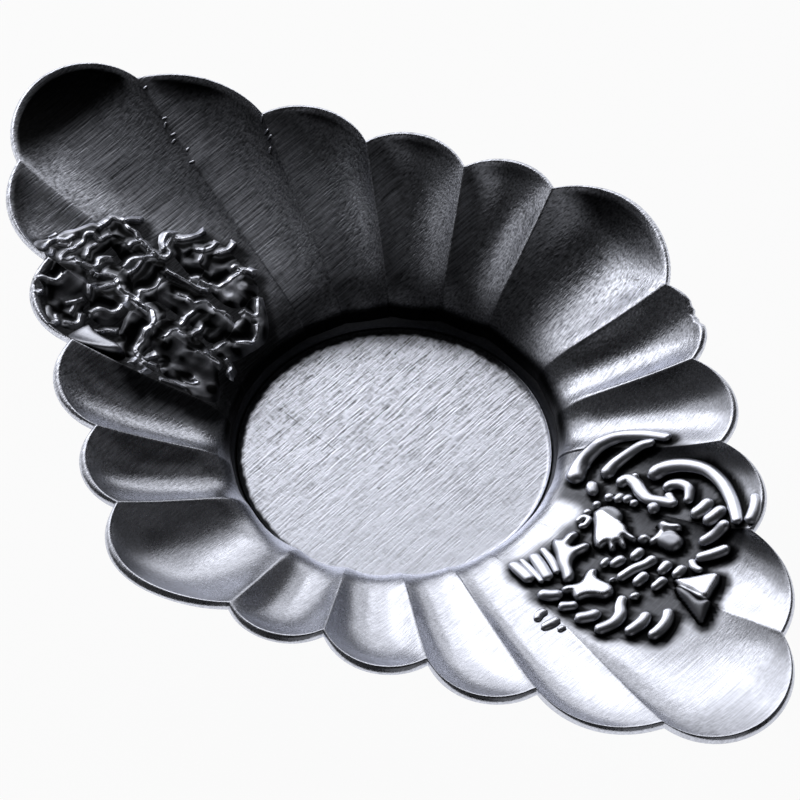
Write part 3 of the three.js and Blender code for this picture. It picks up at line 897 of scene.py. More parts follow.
# %% The lines of the right spray
# Each strand: plan points in millimetres, then its half widths at the start, the middle and the end
RIGHT_STRANDS = {
    "plume_a": [
        ([(20.7, 10.0), (19.4, 12.0), (19.0, 14.4), (19.9, 17.6), (22.5, 19.9), (25.6, 21.1)],
          (1.0, 0.75, 0.5)),
    ],
    "plume_b": [
        ([(22.9, 12.7), (22.5, 14.7), (22.8, 16.6), (23.5, 18.3), (24.5, 19.6)], (0.75, 0.6, 0.4)),
    ],
    "plume_c": [
        ([(28.0, 15.9), (27.5, 17.2), (28.4, 18.7), (30.2, 20.0), (32.5, 20.7), (35.2, 20.4),
          (37.7, 19.4), (39.7, 18.2), (41.5, 16.9)], (0.85, 0.7, 0.6)),
    ],
    "plume_d": [
        ([(42.6, 17.4), (41.9, 18.9), (40.9, 20.2), (39.6, 21.2)], (0.55, 0.6, 0.4)),
    ],
    "wave_band": [
        ([(25.0, 12.8), (25.4, 14.3), (26.7, 14.4), (28.2, 13.9), (29.7, 13.7), (31.2, 14.4),
          (33.0, 15.2)], (0.6, 0.7, 0.55)),
        ([(30.4, 13.6), (31.2, 13.0), (31.5, 12.2)], (0.7, 0.6, 0.4)),
        ([(25.6, 14.6), (25.9, 15.7)], (0.4, 0.4, 0.35)),
    ],
    "arch_curl": [
        ([(30.5, 15.7), (30.2, 16.6), (31.0, 17.5), (32.2, 17.7), (33.1, 17.0), (33.9, 15.9)],
          (0.55, 0.6, 0.45)),
        ([(30.7, 15.8), (31.7, 15.3), (32.7, 15.1)], (0.45, 0.45, 0.45)),
    ],
    "upper_ribs": [
        ([(35.7, 18.2), (36.0, 16.4), (35.6, 14.7)], (0.65, 0.72, 0.6)),
        ([(38.0, 18.2), (38.0, 16.4), (37.7, 14.8)], (0.65, 0.7, 0.6)),
        ([(40.2, 16.7), (39.8, 14.7), (39.0, 12.8)], (0.6, 0.62, 0.5)),
        ([(42.6, 14.7), (41.5, 12.8), (40.2, 11.1)], (0.6, 0.62, 0.5)),
        ([(39.9, 10.8), (41.2, 10.2), (42.4, 10.4)], (0.35, 0.4, 0.35)),
    ],
    "bead_chain": [
        ([(28.6, 11.6), (28.7, 12.2), (28.6, 12.8)], (0.38, 0.42, 0.38)),
        ([(27.7, 11.5), (27.6, 12.2), (27.4, 12.9)], (0.38, 0.45, 0.4)),
        ([(26.9, 10.9), (26.7, 11.7), (26.4, 12.5)], (0.4, 0.48, 0.42)),
        ([(25.9, 10.4), (25.7, 11.0), (25.3, 11.7)], (0.4, 0.48, 0.42)),
        ([(25.6, 8.9), (25.3, 9.4), (24.9, 9.9)], (0.38, 0.42, 0.38)),
        ([(25.4, 8.5), (25.2, 8.0), (24.7, 7.6)], (0.35, 0.4, 0.35)),
        ([(25.4, 6.0), (25.3, 7.1), (26.1, 7.4), (26.4, 6.4), (25.8, 5.9)], (0.32, 0.32, 0.32)),
        ([(22.2, 11.7), (23.0, 10.8), (24.1, 10.2)], (0.5, 0.6, 0.4)),
    ],
    "scale_rows": [
        ([(34.4, 8.4), (34.5, 7.3), (34.6, 6.2)], (0.5, 0.55, 0.5)),
        ([(36.5, 8.5), (36.4, 7.0), (35.8, 5.2), (35.5, 3.1)], (0.58, 0.52, 0.5)),
        ([(38.3, 9.1), (38.5, 7.9), (38.7, 6.8)], (0.55, 0.55, 0.45)),
        ([(40.1, 9.7), (40.3, 8.6), (40.4, 7.5)], (0.5, 0.55, 0.5)),
        ([(33.8, 6.1), (33.6, 5.0), (33.4, 3.9)], (0.5, 0.55, 0.4)),
        ([(37.6, 6.1), (37.6, 4.9), (37.7, 3.7)], (0.5, 0.55, 0.5)),
        ([(39.8, 7.0), (39.8, 5.9), (39.7, 4.6)], (0.5, 0.5, 0.4)),
        ([(34.7, 2.8), (35.4, 2.7)], (0.45, 0.5, 0.45)),
        ([(38.3, 2.9), (39.5, 2.6)], (0.55, 0.6, 0.5)),
        ([(32.3, 4.8), (32.5, 3.9), (32.8, 3.2)], (0.3, 0.4, 0.3)),
    ],
    "inner_ribs": [
        ([(24.9, -0.7), (27.2, -1.4), (29.7, -2.3)], (0.5, 0.6, 0.55)),
        ([(24.1, -3.4), (26.2, -3.6), (28.4, -3.9)], (0.5, 0.62, 0.55)),
        ([(25.0, 0.7), (27.4, 0.1), (29.6, -0.9)], (0.3, 0.4, 0.3)),
        ([(24.5, -2.2), (26.8, -2.6), (29.4, -3.1)], (0.25, 0.32, 0.25)),
    ],
    "lower_ribs": [
        ([(32.4, -2.6), (31.6, -3.9), (30.2, -4.8)], (0.55, 0.65, 0.55)),
        ([(35.0, -2.6), (34.3, -3.6), (33.5, -4.6)], (0.5, 0.5, 0.6)),
        ([(37.4, -1.5), (37.4, -2.9), (36.3, -4.6)], (0.55, 0.65, 0.6)),
        ([(37.8, 2.0), (38.7, 0.6), (39.8, -0.5), (40.1, -2.0), (39.5, -4.3)], (0.45, 0.65, 0.6)),
        ([(41.7, 2.1), (42.5, 0.5), (42.4, -2.1)], (0.5, 0.65, 0.55)),
        ([(43.2, 4.0), (44.4, 2.8), (44.9, 1.1), (44.8, -0.6)], (0.5, 0.65, 0.55)),
    ],
    "low_leaf": [
        ([(33.0, -5.7), (32.8, -6.8), (33.4, -7.8)], (0.4, 0.45, 0.35)),
        ([(34.9, -5.6), (34.9, -6.9), (34.6, -8.3)], (0.4, 0.5, 0.35)),
        ([(36.4, -6.0), (36.3, -7.2)], (0.3, 0.35, 0.3)),
    ],
}
STRAND_SPACING = 0.2
STRAND_LIFT = 0.35
STRAND_FLATTEN = 0.6
# Drawn half widths are those of the bright tops, so the strands are made wider
STRAND_SWELL = 1.36
# The low leaf is worn nearly down to the plate
WORN_LIFT = {"low_leaf": 0.08}
drawn = sum(map(len, RIGHT_STRANDS.values()))
print("right spray:", drawn, "strands in", len(RIGHT_STRANDS), "castings")


def strand_lines(name, strands):
    """A helper mesh of drawn lines with the half width at each of their points."""
    places, edges, widths = [], [], []
    for points, (first, middle, last) in strands:
        start = len(places)
        shares = np.linspace(0, 1, len(points))
        widths += list(np.interp(shares, [0, 0.5, 1], [first, middle, last]))
        places += points
        edges += [(start + i, start + i + 1) for i in range(len(points) - 1)]
    thickness = np.array(widths) * STRAND_SWELL * MM
    mesh = points_with(name, flat(np.array(places)), thickness=thickness).data
    mesh.edges.add(len(edges))
    mesh.edges.foreach_set("vertices", np.array(edges, dtype=np.int32).ravel())
    return mesh


# %% The right spray
for node, strands in RIGHT_STRANDS.items():
    carving = grow(node + "_carving", strand_tree, {
        "Plate": plate, "Spacing": STRAND_SPACING * MM,
        "Lift": WORN_LIFT.get(node, STRAND_LIFT) * MM, "Flatten": STRAND_FLATTEN,
        "Material": relief_tin,
    }, source=strand_lines(node + "_lines", strands))
    outward_faces(carving)
    fit(carving, "relief_tin", node)

# %% [markdown]
# Burrs on the ridges
#
# Hammering has raised tiny bright burrs along two ridges near the left tip. They are strands too,
# so the same tree lays them on the plate, only much thinner.

# %% Burrs on the ridges
BURR_LENGTH, BURR_WIDTH, BURR_LIFT, BURR_SPACING = 0.7, 0.09, 0.03, 0.08
# How far a burr curls, how the curl changes from one to the next, and the swelling of its middle
BURR_CURL, BURR_CHANGE, BURR_SWELL = 0.25, 2.4, 1.4
BURR_PLACES = (
    (-55.0, 9.4), (-50.6, 8.6), (-50.0, 8.1), (-48.4, 8.0), (-47.8, 7.5), (-45.8, 8.0),
    (-44.2, 7.3), (-41.9, 16.6), (-40.4, 16.0), (-39.6, 15.8), (-38.7, 15.0),
)
burr_lines = []
for number, (x, y) in enumerate(BURR_PLACES):
    curl = BURR_CURL * math.sin(BURR_CHANGE * number)
    burr_lines.append((
        [(x - curl, y - BURR_LENGTH / 2), (x, y), (x + curl / 2, y + BURR_LENGTH / 2)],
        (BURR_WIDTH, BURR_SWELL * BURR_WIDTH, BURR_WIDTH),
    ))
burrs = grow("ridge_burrs", strand_tree, {
    "Plate": plate, "Spacing": BURR_SPACING * MM, "Lift": BURR_LIFT * MM, "Flatten": 1.0,
    "Material": relief_tin,
}, source=strand_lines("burr_lines", burr_lines))
outward_faces(burrs)
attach(burrs, "root")

# %% [markdown]
# Carved faces
#
# Broad leaves and ruffled petals aren't strands: they are faces with a carved top. Such a face is a
# height above the plate, so it is made as a fine sheet over a square grid, lifted point by point.
# The helpers below round a drawn line, measure how far the grid's points are from it and close the
# sheet.

# %% Helpers for carved faces
LEAF_GRAIN, PETAL_GRAIN = 0.13, 0.08
# A carved face starts a little under the plate's top, and its underside lies deeper still
SINK, UNDERSIDE = 0.15, 0.3
# A ray that goes through the well instead of hitting the plate ends at least this far under the lip
WELL_DROP = 2.0
plate_faces = BVHTree.FromObject(plate, bpy.context.evaluated_depsgraph_get())


def rounded(points, spacing):
    """A drawn line rounded into a curve through its points, with a point at about every spacing."""
    ends = np.array(points, dtype=float)
    ends = np.vstack([2 * ends[0] - ends[1], ends, 2 * ends[-1] - ends[-2]])
    made = []
    for p0, p1, p2, p3 in zip(ends, ends[1:], ends[2:], ends[3:]):
        steps = max(2, int(np.hypot(*(p2 - p1)) / spacing))
        for s in np.arange(steps)[:, None] / steps:
            made.append(0.5 * (2 * p1 + (p2 - p0) * s + (2 * p0 - 5 * p1 + 4 * p2 - p3) * s**2
                               + (3 * p1 - p0 - 3 * p2 + p3) * s**3))
    return np.array(made + [ends[-2]])


def grid_over(points, margin, grain):
    """The counts and the plan points of a grid that covers some points with a margin."""
    low = np.min(points, axis=0) - margin
    counts = np.ceil((np.max(points, axis=0) + margin - low) / grain).astype(int)
    x, y = np.meshgrid(*(low[k] + grain * np.arange(counts[k]) for k in (0, 1)), indexing="ij")
    return counts, np.stack([x.ravel(), y.ravel()], 1)


def plate_levels(spots, wanted):
    """The height of the plate's top in millimetres under the wanted spots, and nan elsewhere."""
    level = np.full(len(spots), np.nan)
    for index in np.flatnonzero(wanted):
        x, y = spots[index] * MM
        hit = plate_faces.ray_cast(Vector((x, y, RAY_HEIGHT)), Vector((0, 0, -1)))[0]
        if hit is not None and hit.z > (LIP_HEIGHT - WELL_DROP) * MM:
            level[index] = hit.z / MM
    return level


# %% A closed sheet over a grid


def carved_sheet(name, cells, counts, spots, top, under, skin, material):
    """A closed sheet over the cells of a grid: a carved top, a plain underside and walls."""
    rows = counts[1]
    used, faces, loose = {}, [], {}

    def vertex(index, layer):
        return used.setdefault((index, layer), len(used))

    for i, j in np.argwhere(cells):
        first = i * rows + j
        ring = [first, first + rows, first + rows + 1, first + 1]
        faces.append([vertex(k, 0) for k in ring])
        faces.append([vertex(k, 1) for k in reversed(ring)])
        for a, b in zip(ring, ring[1:] + ring[:1]):
            if (b, a) in loose:
                del loose[(b, a)]
            else:
                loose[(a, b)] = True
    for a, b in loose:
        faces.append([vertex(b, 0), vertex(a, 0), vertex(a, 1), vertex(b, 1)])
    places = np.array([(*spots[k], (top, under)[layer][k]) for k, layer in used]) * MM
    mesh = bpy.data.meshes.new(name)
    mesh.from_pydata([tuple(p) for p in places], [], faces)
    stored = mesh.attributes.new("skin", "FLOAT", "POINT")
    stored.data.foreach_set("value", np.array([skin[k] for k, _ in used], dtype=np.float32))
    mesh.shade_smooth()
    mesh.materials.append(material)
    piece = bpy.data.objects.new(name, mesh)
    bpy.context.scene.collection.objects.link(piece)
    return piece


def whole_cells(good, counts):
    """Which cells of a grid have all four of their corners among the good points."""
    good = good.reshape(counts)
    return good[:-1, :-1] & good[1:, :-1] & good[:-1, 1:] & good[1:, 1:]


# %% [markdown]
# Leaves of the right spray
#
# Between the strands lie five broad leaves, and a sixth ends the left spray. Each is drawn as
# outlines seen from above, and its face rises from the outline in a round edge to a flat top that
# polish has kept bright.

# %% The outlines of the leaves
# Each leaf: its outlines in plan millimetres, each with the dark skin left on its top and its
# slope;
# the dark of the tail leaf's lower outline is painted shade
FLAT = (0.0, 0.0)
LEAVES = {
    "head_leaf": [
        ([(25.8, 8.5), (26.6, 9.1), (28.4, 9.2), (30.2, 9.3), (31.2, 8.8), (32.6, 8.8), (32.8, 8.3),
          (31.5, 8.0), (31.6, 7.7), (32.5, 7.3), (32.6, 6.8), (31.5, 6.9), (31.4, 6.5), (31.9, 6.1),
          (31.7, 5.6), (30.7, 6.1), (30.5, 5.6), (30.4, 5.0), (29.5, 5.1), (28.6, 5.8), (27.4, 7.0),
          (26.4, 7.8)], 0.0, FLAT),
        ([(25.9, 8.8), (26.2, 9.7), (27.2, 10.3), (28.5, 10.3), (29.3, 9.7), (29.0, 8.9)], 0.6,
          FLAT),
    ],
    "knob_leaf": [
        ([(34.7, 10.0), (35.6, 9.8), (37.2, 10.1), (37.7, 11.0), (37.4, 11.9), (36.4, 12.2),
          (35.2, 11.9), (34.6, 11.0)], 0.5, FLAT),
        ([(33.2, 11.7), (34.2, 11.4), (35.4, 12.1), (36.0, 12.9), (35.3, 13.2), (34.2, 12.6),
          (33.3, 12.4)], 0.1, FLAT),
        ([(34.0, 11.4), (34.7, 11.3), (35.0, 9.6), (34.3, 9.4)], 0.1, FLAT),
        ([(32.6, 9.3), (33.2, 10.0), (34.0, 9.7), (33.9, 8.9), (33.1, 8.7)], 0.1, FLAT),
    ],
    "tail_leaf": [
        ([(40.8, 7.4), (42.2, 9.1), (43.4, 10.7), (44.2, 11.2), (45.0, 10.4), (45.5, 9.0),
          (45.9, 7.8), (45.2, 7.3), (43.8, 7.2), (42.2, 7.0)], 0.0, FLAT),
        # The lower facet of the tail leaf is painted dark as shade
        ([(41.8, 6.6), (43.5, 6.8), (45.4, 6.8), (46.5, 7.5), (47.2, 6.4), (47.7, 5.1), (46.4, 5.3),
          (44.5, 5.8), (43.0, 6.1)], 0.7, (0.0, 0.3)),
    ],
    "fork_leaf": [
        ([(25.2, 2.6), (25.8, 1.8), (27.2, 1.0), (28.5, 0.1), (29.8, -0.5), (31.0, -1.2),
          (31.6, -0.6), (31.1, 0.3), (30.1, 0.9), (29.4, 1.7), (29.2, 2.6), (29.5, 3.9),
          (29.0, 4.6), (28.3, 4.2), (27.9, 3.3), (27.4, 2.9), (27.2, 3.6), (26.9, 4.8), (26.1, 4.9),
          (25.9, 3.9), (26.0, 3.0)], 0.15, FLAT),
    ],
    "star_leaf": [
        ([(31.8, 2.0), (32.4, 2.6), (32.9, 2.2), (33.4, 1.7), (34.4, 1.8), (35.6, 2.0), (36.6, 1.4),
          (36.5, 0.2), (35.5, -0.5), (34.8, -1.2), (34.3, -2.2), (33.5, -2.1), (33.0, -1.9),
          (32.4, -2.5), (31.6, -2.3), (31.8, -1.4), (32.4, -0.6), (32.5, 0.3), (32.1, 1.1)], 0.05,
          FLAT),
    ],
    "stem_leaf": [
        ([(-33.9, -18.4), (-32.6, -18.5), (-30.9, -18.1), (-29.6, -17.7), (-28.3, -17.9),
          (-28.8, -19.2), (-30.2, -20.5), (-31.6, -21.6), (-32.8, -22.3), (-33.6, -21.6),
          (-34.0, -19.9)], 0.3, (0.25, 0.1)),
    ],
}
LEAF_HEIGHT = 1.0
LEAF_ROUND = 1.0
LEAF_SOFTENING = 10
LEAF_MARGIN, LEAF_ROOM = 0.3, 1.0
LEAF_STEP = 0.25
LEAF_EDGE_SKIN = (-0.1, 0.2)
print("leaves:", len(LEAVES), "with", sum(map(len, LEAVES.values())), "outlines")


def distance_from(spots, start, end):
    """How far each spot is from the straight line between two plan points."""
    side, offset = np.subtract(end, start), spots - start
    share = np.clip(offset @ side / (side @ side), 0, 1)
    return np.hypot(*(offset - share[:, None] * side).T)


def depth_inside(spots, outline):
    """How far each spot lies inside an outline, negative outside it."""
    distance, inside = np.full(len(spots), np.inf), np.zeros(len(spots), dtype=bool)
    for start, end in zip(outline, np.roll(outline, -1, axis=0)):
        distance = np.minimum(distance, distance_from(spots, start, end))
        crosses = (start[1] > spots[:, 1]) != (end[1] > spots[:, 1])
        lean = (end[0] - start[0]) / ((end[1] - start[1]) or 1e-9)
        inside ^= crosses & (spots[:, 0] - start[0] < (spots[:, 1] - start[1]) * lean)
    return np.where(inside, distance, -distance)


def softened(field, counts, passes):
    """A field over a grid, evened out with its neighbours a number of times."""
    field = field.reshape(counts)
    for _ in range(passes):
        edged = np.pad(field, 1, mode="edge")
        around = edged[:-2, 1:-1] + edged[2:, 1:-1] + edged[1:-1, :-2] + edged[1:-1, 2:]
        field = field / 2 + around / 8
    return field.ravel()


# %% The leaves
for node, outlines in LEAVES.items():
    drawn = np.vstack([points for points, _, _ in outlines])
    counts, spots = grid_over(drawn, LEAF_ROOM, LEAF_GRAIN)
    depth, top_skin, lean = (np.full(len(spots), value) for value in (-np.inf, 0.0, 0.0))
    for points, dark, slope in outlines:
        found = depth_inside(spots, rounded([*points, points[0]], LEAF_STEP)[:-1])
        top_skin[found > depth] = dark
        lean[found > depth] = ((spots - np.mean(points, axis=0)) @ slope)[found > depth]
        depth = np.maximum(depth, found)
    level = plate_levels(spots, depth > -LEAF_MARGIN)
    inside = ~np.isnan(level)
    near_edge = 1 - np.clip((depth + LEAF_MARGIN) / LEAF_ROUND, 0, 1)
    rise = (LEAF_HEIGHT + SINK + lean) * np.sqrt(1 - near_edge**2)
    top = level - SINK + softened(rise, counts, LEAF_SOFTENING)
    skin = np.maximum(top_skin, 1 - ease(depth, *LEAF_EDGE_SKIN))
    leaf = carved_sheet(node + "_carving", whole_cells(inside, counts), counts, spots,
                        top, level - UNDERSIDE, skin, relief_tin)
    outward_faces(leaf)
    fit(leaf, "relief_tin", node)

# %% [markdown]
# Petals of the left spray
#
# The left spray is a cushion of ruffled petals: thin lips that are rubbed bright, with a hollow on
# one side of each, black with patina and painted shade, and a dull flat face on the other. The lips
# are drawn as lines seen from above. A point's height, its dark skin and its painted shade follow
# from how far it is from the nearest lips and on which side.

# %% The petals and their lips
# Each petal: the plan points of its middle line, then its widths at the start, middle and end
PETALS = {
    "crest_petal": ([(-37.4, -1.5), (-33.6, -0.2), (-28.2, 0)], (2.6, 5.8, 5)),
    "east_petal": ([(-25.4, 0.4), (-22.9, -2.2), (-22.6, -6.6)], (2, 3.6, 3)),
    "middle_petal": ([(-32.6, -7), (-29.2, -5.8), (-25.2, -5.6)], (3, 4.2, 4)),
    "west_petal": ([(-43.4, -5.6), (-42, -6), (-39.3, -6.6)], (2.2, 3.6, 3.6)),
    "inner_petal": ([(-37.4, -5), (-35.9, -6.9), (-34.2, -9.2)], (2.6, 3.8, 3)),
    "tip_petal": ([(-43.4, -8.8), (-43.6, -11.6), (-44.8, -14.8)], (3.6, 5.2, 3.6)),
    "heart_petal": ([(-37.8, -10.6), (-36.1, -12.8), (-34.4, -15.4)], (3.4, 4.8, 3.4)),
    "rim_petal": ([(-41, -15), (-38.6, -17.8), (-36.3, -20.4)], (3.4, 4.8, 3.4)),
    "south_petal": ([(-31.6, -10.4), (-30.4, -13.2), (-29, -16.2)], (3, 3.8, 3)),
    "broad_petal": ([(-27.6, -11), (-23.9, -11.8), (-20, -12.8)], (5, 6.6, 4)),
}
LEFT, RIGHT = 1, -1
# Each lip: its plan points, the side of its hollow as one follows the points, its half width
LIPS = [
    ([(-36.4, 2.1), (-36.5, 1.1), (-37.1, -0.1), (-37.6, -0.8), (-38.4, -1), (-38.1, -1.7),
      (-37.6, -2.5), (-36.7, -2.9), (-36.4, -3.5), (-36.8, -4.3), (-37.7, -4.5), (-39.2, -4.6),
      (-39.9, -4.7), (-40.3, -5.7), (-40.1, -6.4)], LEFT, 0.2),
    ([(-38.4, -1), (-38.9, -1.5), (-38.4, -2.4), (-37.6, -3.1)], LEFT, 0.2),
    ([(-34.3, 2.3), (-34.2, 1.6), (-34.4, 0.6), (-35, 0)], LEFT, 0.2),
    ([(-34.3, 0), (-33.8, -0.7)], LEFT, 0.12),
    ([(-32.8, 3.8), (-32.6, 3), (-32.8, 2), (-33.1, 1.6)], LEFT, 0.22),
    ([(-28.6, 2.9), (-29.3, 2.5), (-30.4, 2.1), (-30.5, 1.6)], LEFT, 0.2),
    ([(-29.5, 1.8), (-29.4, 0.9), (-29.4, -0.3), (-29.4, -1.3), (-29.9, -2), (-30.8, -2.5),
      (-31.8, -2.7), (-32.3, -3.4)], RIGHT, 0.22),
    ([(-34.8, -5), (-33.2, -4.5), (-31.8, -3.9), (-30.5, -3.4), (-30, -3)], RIGHT, 0.16),
    ([(-25.2, 1), (-24.5, 0.4), (-23.8, -0.3), (-23.9, -0.9), (-24.6, -1.2), (-25.2, -1.3)], RIGHT,
      0.2),
    ([(-22.7, -1.4), (-21.8, -2.2), (-21.3, -3.4), (-21.7, -4.3), (-22.3, -5.1)], RIGHT, 0.2),
    ([(-31.3, -6.3), (-30.5, -5.7), (-29.4, -5.6), (-28.9, -4.6), (-28.5, -4.1), (-27.1, -4.1),
      (-26.4, -3.5), (-25.7, -3.2)], LEFT, 0.16),
    ([(-42.4, -2.8), (-43, -3.7), (-43.3, -4.4), (-44.3, -5.1), (-44.4, -5.7), (-44.2, -6.5),
      (-44, -7.6)], LEFT, 0.2),
    ([(-43.3, -4.4), (-42.5, -4.5), (-41.3, -4.4), (-40.5, -4.6)], RIGHT, 0.14),
    ([(-37.5, -4.6), (-37.6, -5.8), (-38.2, -7), (-38.4, -8), (-38.2, -8.9)], RIGHT, 0.2),
    ([(-37.6, -6.8), (-37.3, -7.7), (-37.1, -8.9)], LEFT, 0.14),
    ([(-34.2, -6.5), (-33.8, -7.7), (-34, -8.9), (-34.4, -9.6), (-34, -10.3)], RIGHT, 0.2),
    ([(-42.6, -7.5), (-42.8, -8.7), (-43.8, -9), (-44.3, -9.7), (-43.8, -10.6), (-43.8, -11.6)],
      LEFT, 0.2),
    ([(-42.7, -9.5), (-42.5, -10.6), (-42, -11.4)], LEFT, 0.2),
    ([(-40.1, -9.4), (-40.7, -10.3), (-40.3, -11.3), (-40.6, -12.2), (-41.5, -12.8),
      (-42.6, -13.2)], RIGHT, 0.24),
    ([(-39.6, -12.5), (-38.7, -12), (-38, -11), (-37.3, -10.8), (-36.1, -11.3), (-34.6, -11),
      (-33.2, -10.5), (-31.8, -10.2), (-30.8, -10.6), (-29.6, -11.8), (-29.2, -13.4),
      (-28.6, -14.6), (-28, -15.9), (-26.7, -15.8), (-26.3, -14.4)], RIGHT, 0.26),
    ([(-35, -11), (-33.6, -10.7), (-32, -10.5)], LEFT, 0.5),
    ([(-37, -11.4), (-37, -12.4), (-37.2, -13.3), (-37.2, -14.2)], LEFT, 0.22),
    ([(-34.5, -11.6), (-33.7, -12.7), (-33.2, -14.1), (-33.6, -15.1), (-34.6, -15.8), (-34.9, -17)],
      RIGHT, 0.22),
    ([(-37.8, -13.9), (-37.5, -14.8), (-37, -15.6)], LEFT, 0.16),
    ([(-40.3, -16.8), (-40.2, -18), (-41.3, -19.1), (-41.5, -20)], RIGHT, 0.16),
    ([(-41.3, -20), (-40, -20.1), (-39.8, -21)], LEFT, 0.14),
    ([(-36.8, -16.8), (-37, -17.7), (-37.4, -18.7)], LEFT, 0.16),
    ([(-36.9, -17.8), (-36.4, -18.9)], LEFT, 0.14),
    ([(-35.4, -18.2), (-34.8, -18.9), (-34.8, -19.9), (-35.4, -20.8)], RIGHT, 0.2),
    ([(-31.5, -16.4), (-32.1, -17.2), (-32.5, -18.1)], LEFT, 0.2),
    ([(-36.5, -21), (-35.8, -21.5), (-35.2, -22.5)], LEFT, 0.2),
    ([(-28.6, -6.5), (-28.5, -7.5), (-28.2, -8.7)], LEFT, 0.16),
    ([(-26.4, -7.1), (-26.2, -8.4)], LEFT, 0.16),
    ([(-23, -6.3), (-23.1, -8)], RIGHT, 0.18),
    ([(-23.2, -8.8), (-23.1, -9.6), (-23.7, -10.2)], RIGHT, 0.2),
    ([(-22.9, -9.1), (-22, -9), (-21.3, -8.8)], LEFT, 0.2),
    ([(-21.3, -7.5), (-20.3, -7.8), (-19.6, -8.6)], RIGHT, 0.16),
    ([(-27, -9.5), (-27.7, -9.7), (-27.7, -10.6), (-27.4, -11.8)], RIGHT, 0.2),
    ([(-21.3, -12.6), (-20.6, -12.7), (-20.8, -13.5), (-21.4, -14.1)], RIGHT, 0.2),
    ([(-21.1, -14.9), (-22.3, -15.8), (-23, -16.3)], LEFT, 0.18),
    ([(-27.8, -16), (-26.4, -16.2), (-25.2, -15.6)], LEFT, 0.35),
    ([(-27.4, -16.2), (-26.8, -17.4)], LEFT, 0.2),
    ([(-25.2, -16.8), (-25, -18)], RIGHT, 0.18),
    ([(-44.9, -11), (-45.1, -12.2), (-45.8, -13.2), (-45.6, -14.4), (-45.1, -15.6)], LEFT, 0.24),
    ([(-45.2, -13.2), (-44.6, -12.6)], RIGHT, 0.5),
    ([(-43.6, -11.8), (-43.7, -13.4), (-43.1, -14.6), (-42.6, -13.9), (-42.6, -13)], LEFT, 0.24),
    ([(-44.6, -14.6), (-43.9, -15.8), (-43.4, -17)], LEFT, 0.24),
    ([(-46.3, -12.6), (-46.4, -13.6)], RIGHT, 0.2),
    ([(-44.7, -11.6), (-44.2, -12.3)], LEFT, 0.2),
]
# Faces that polish has reached: a plan point, a radius and the dark skin left there
WORN_FACES = [
    ((-36.3, -1.0), 1.3, 0.6), ((-28.0, 0.8), 0.9, 0.5), ((-28.3, -1.2), 0.9, 0.45),
    ((-29.6, -2.6), 0.9, 0.45), ((-31.4, -2.6), 0.9, 0.4), ((-32.4, -10.4), 1.4, 0.4),
    ((-35.5, -10.8), 0.9, 0.5), ((-22.0, -8.6), 1.2, 0.6), ((-25.0, -14.9), 1.6, 0.65),
    ((-38.6, -14.4), 1.3, 0.6), ((-45.2, -13.2), 1.1, 0.3), ((-44.0, -15.2), 1.0, 0.4),
    ((-42.2, -12.7), 0.7, 0.3), ((-29.0, -17.0), 1.3, 0.5), ((-27.2, -18.6), 1.2, 0.55),
    ((-37.6, -21.8), 1.2, 0.5), ((-41.6, -4.9), 1.0, 0.6), ((-36.2, -3.6), 0.8, 0.5),
]
PETAL_MARGIN = 0.6
PETAL_FACE, PETAL_PIT = 0.52, 0.24
# A lip is a long slope that faces the window and a short drop behind it
LIP_CREST, LIP_SLOPE, LIP_DROP = 0.22, 0.32, 0.09
WINDOW_WAY = np.array([-0.9, -0.44])
# The half width of a lip of plain size, and the smallest and largest size
LIP_USUAL, LIP_SIZES = 0.2, (0.75, 2.0)
LIP_STEP, LIP_ROOM, LIP_FADE, LIP_END = 0.12, 4.0, 0.2, 0.1
# Wear covers a lip and thins out in a halo beside it, less on the side of its hollow
WEAR_REACH, HALO_WEAR, HALO_REACH, HALO_SHADED = 0.1, 0.45, 0.7, 0.6
SHADED_SIDE = (-0.2, 0.6)
HOLLOW_START, HOLLOW_REACH = 0.2, 1.3
NO_LIP = 9.0
print("left spray:", len(PETALS), "petals with", len(LIPS), "lips")


def wave_field(spots, seed, shortest, longest, count=18):
    """A random smooth field of about unit size, from waves of some lengths in millimetres."""
    random = np.random.default_rng(seed)
    waves = []
    for _ in range(count):
        length = random.uniform(shortest, longest)
        waves.append((2 * np.pi / length, *random.uniform(0, 2 * np.pi, 2)))
    total = sum(np.sin(k * (spots @ (np.cos(a), np.sin(a))) + p) for k, a, p in waves)
    return total * math.sqrt(2 / count)


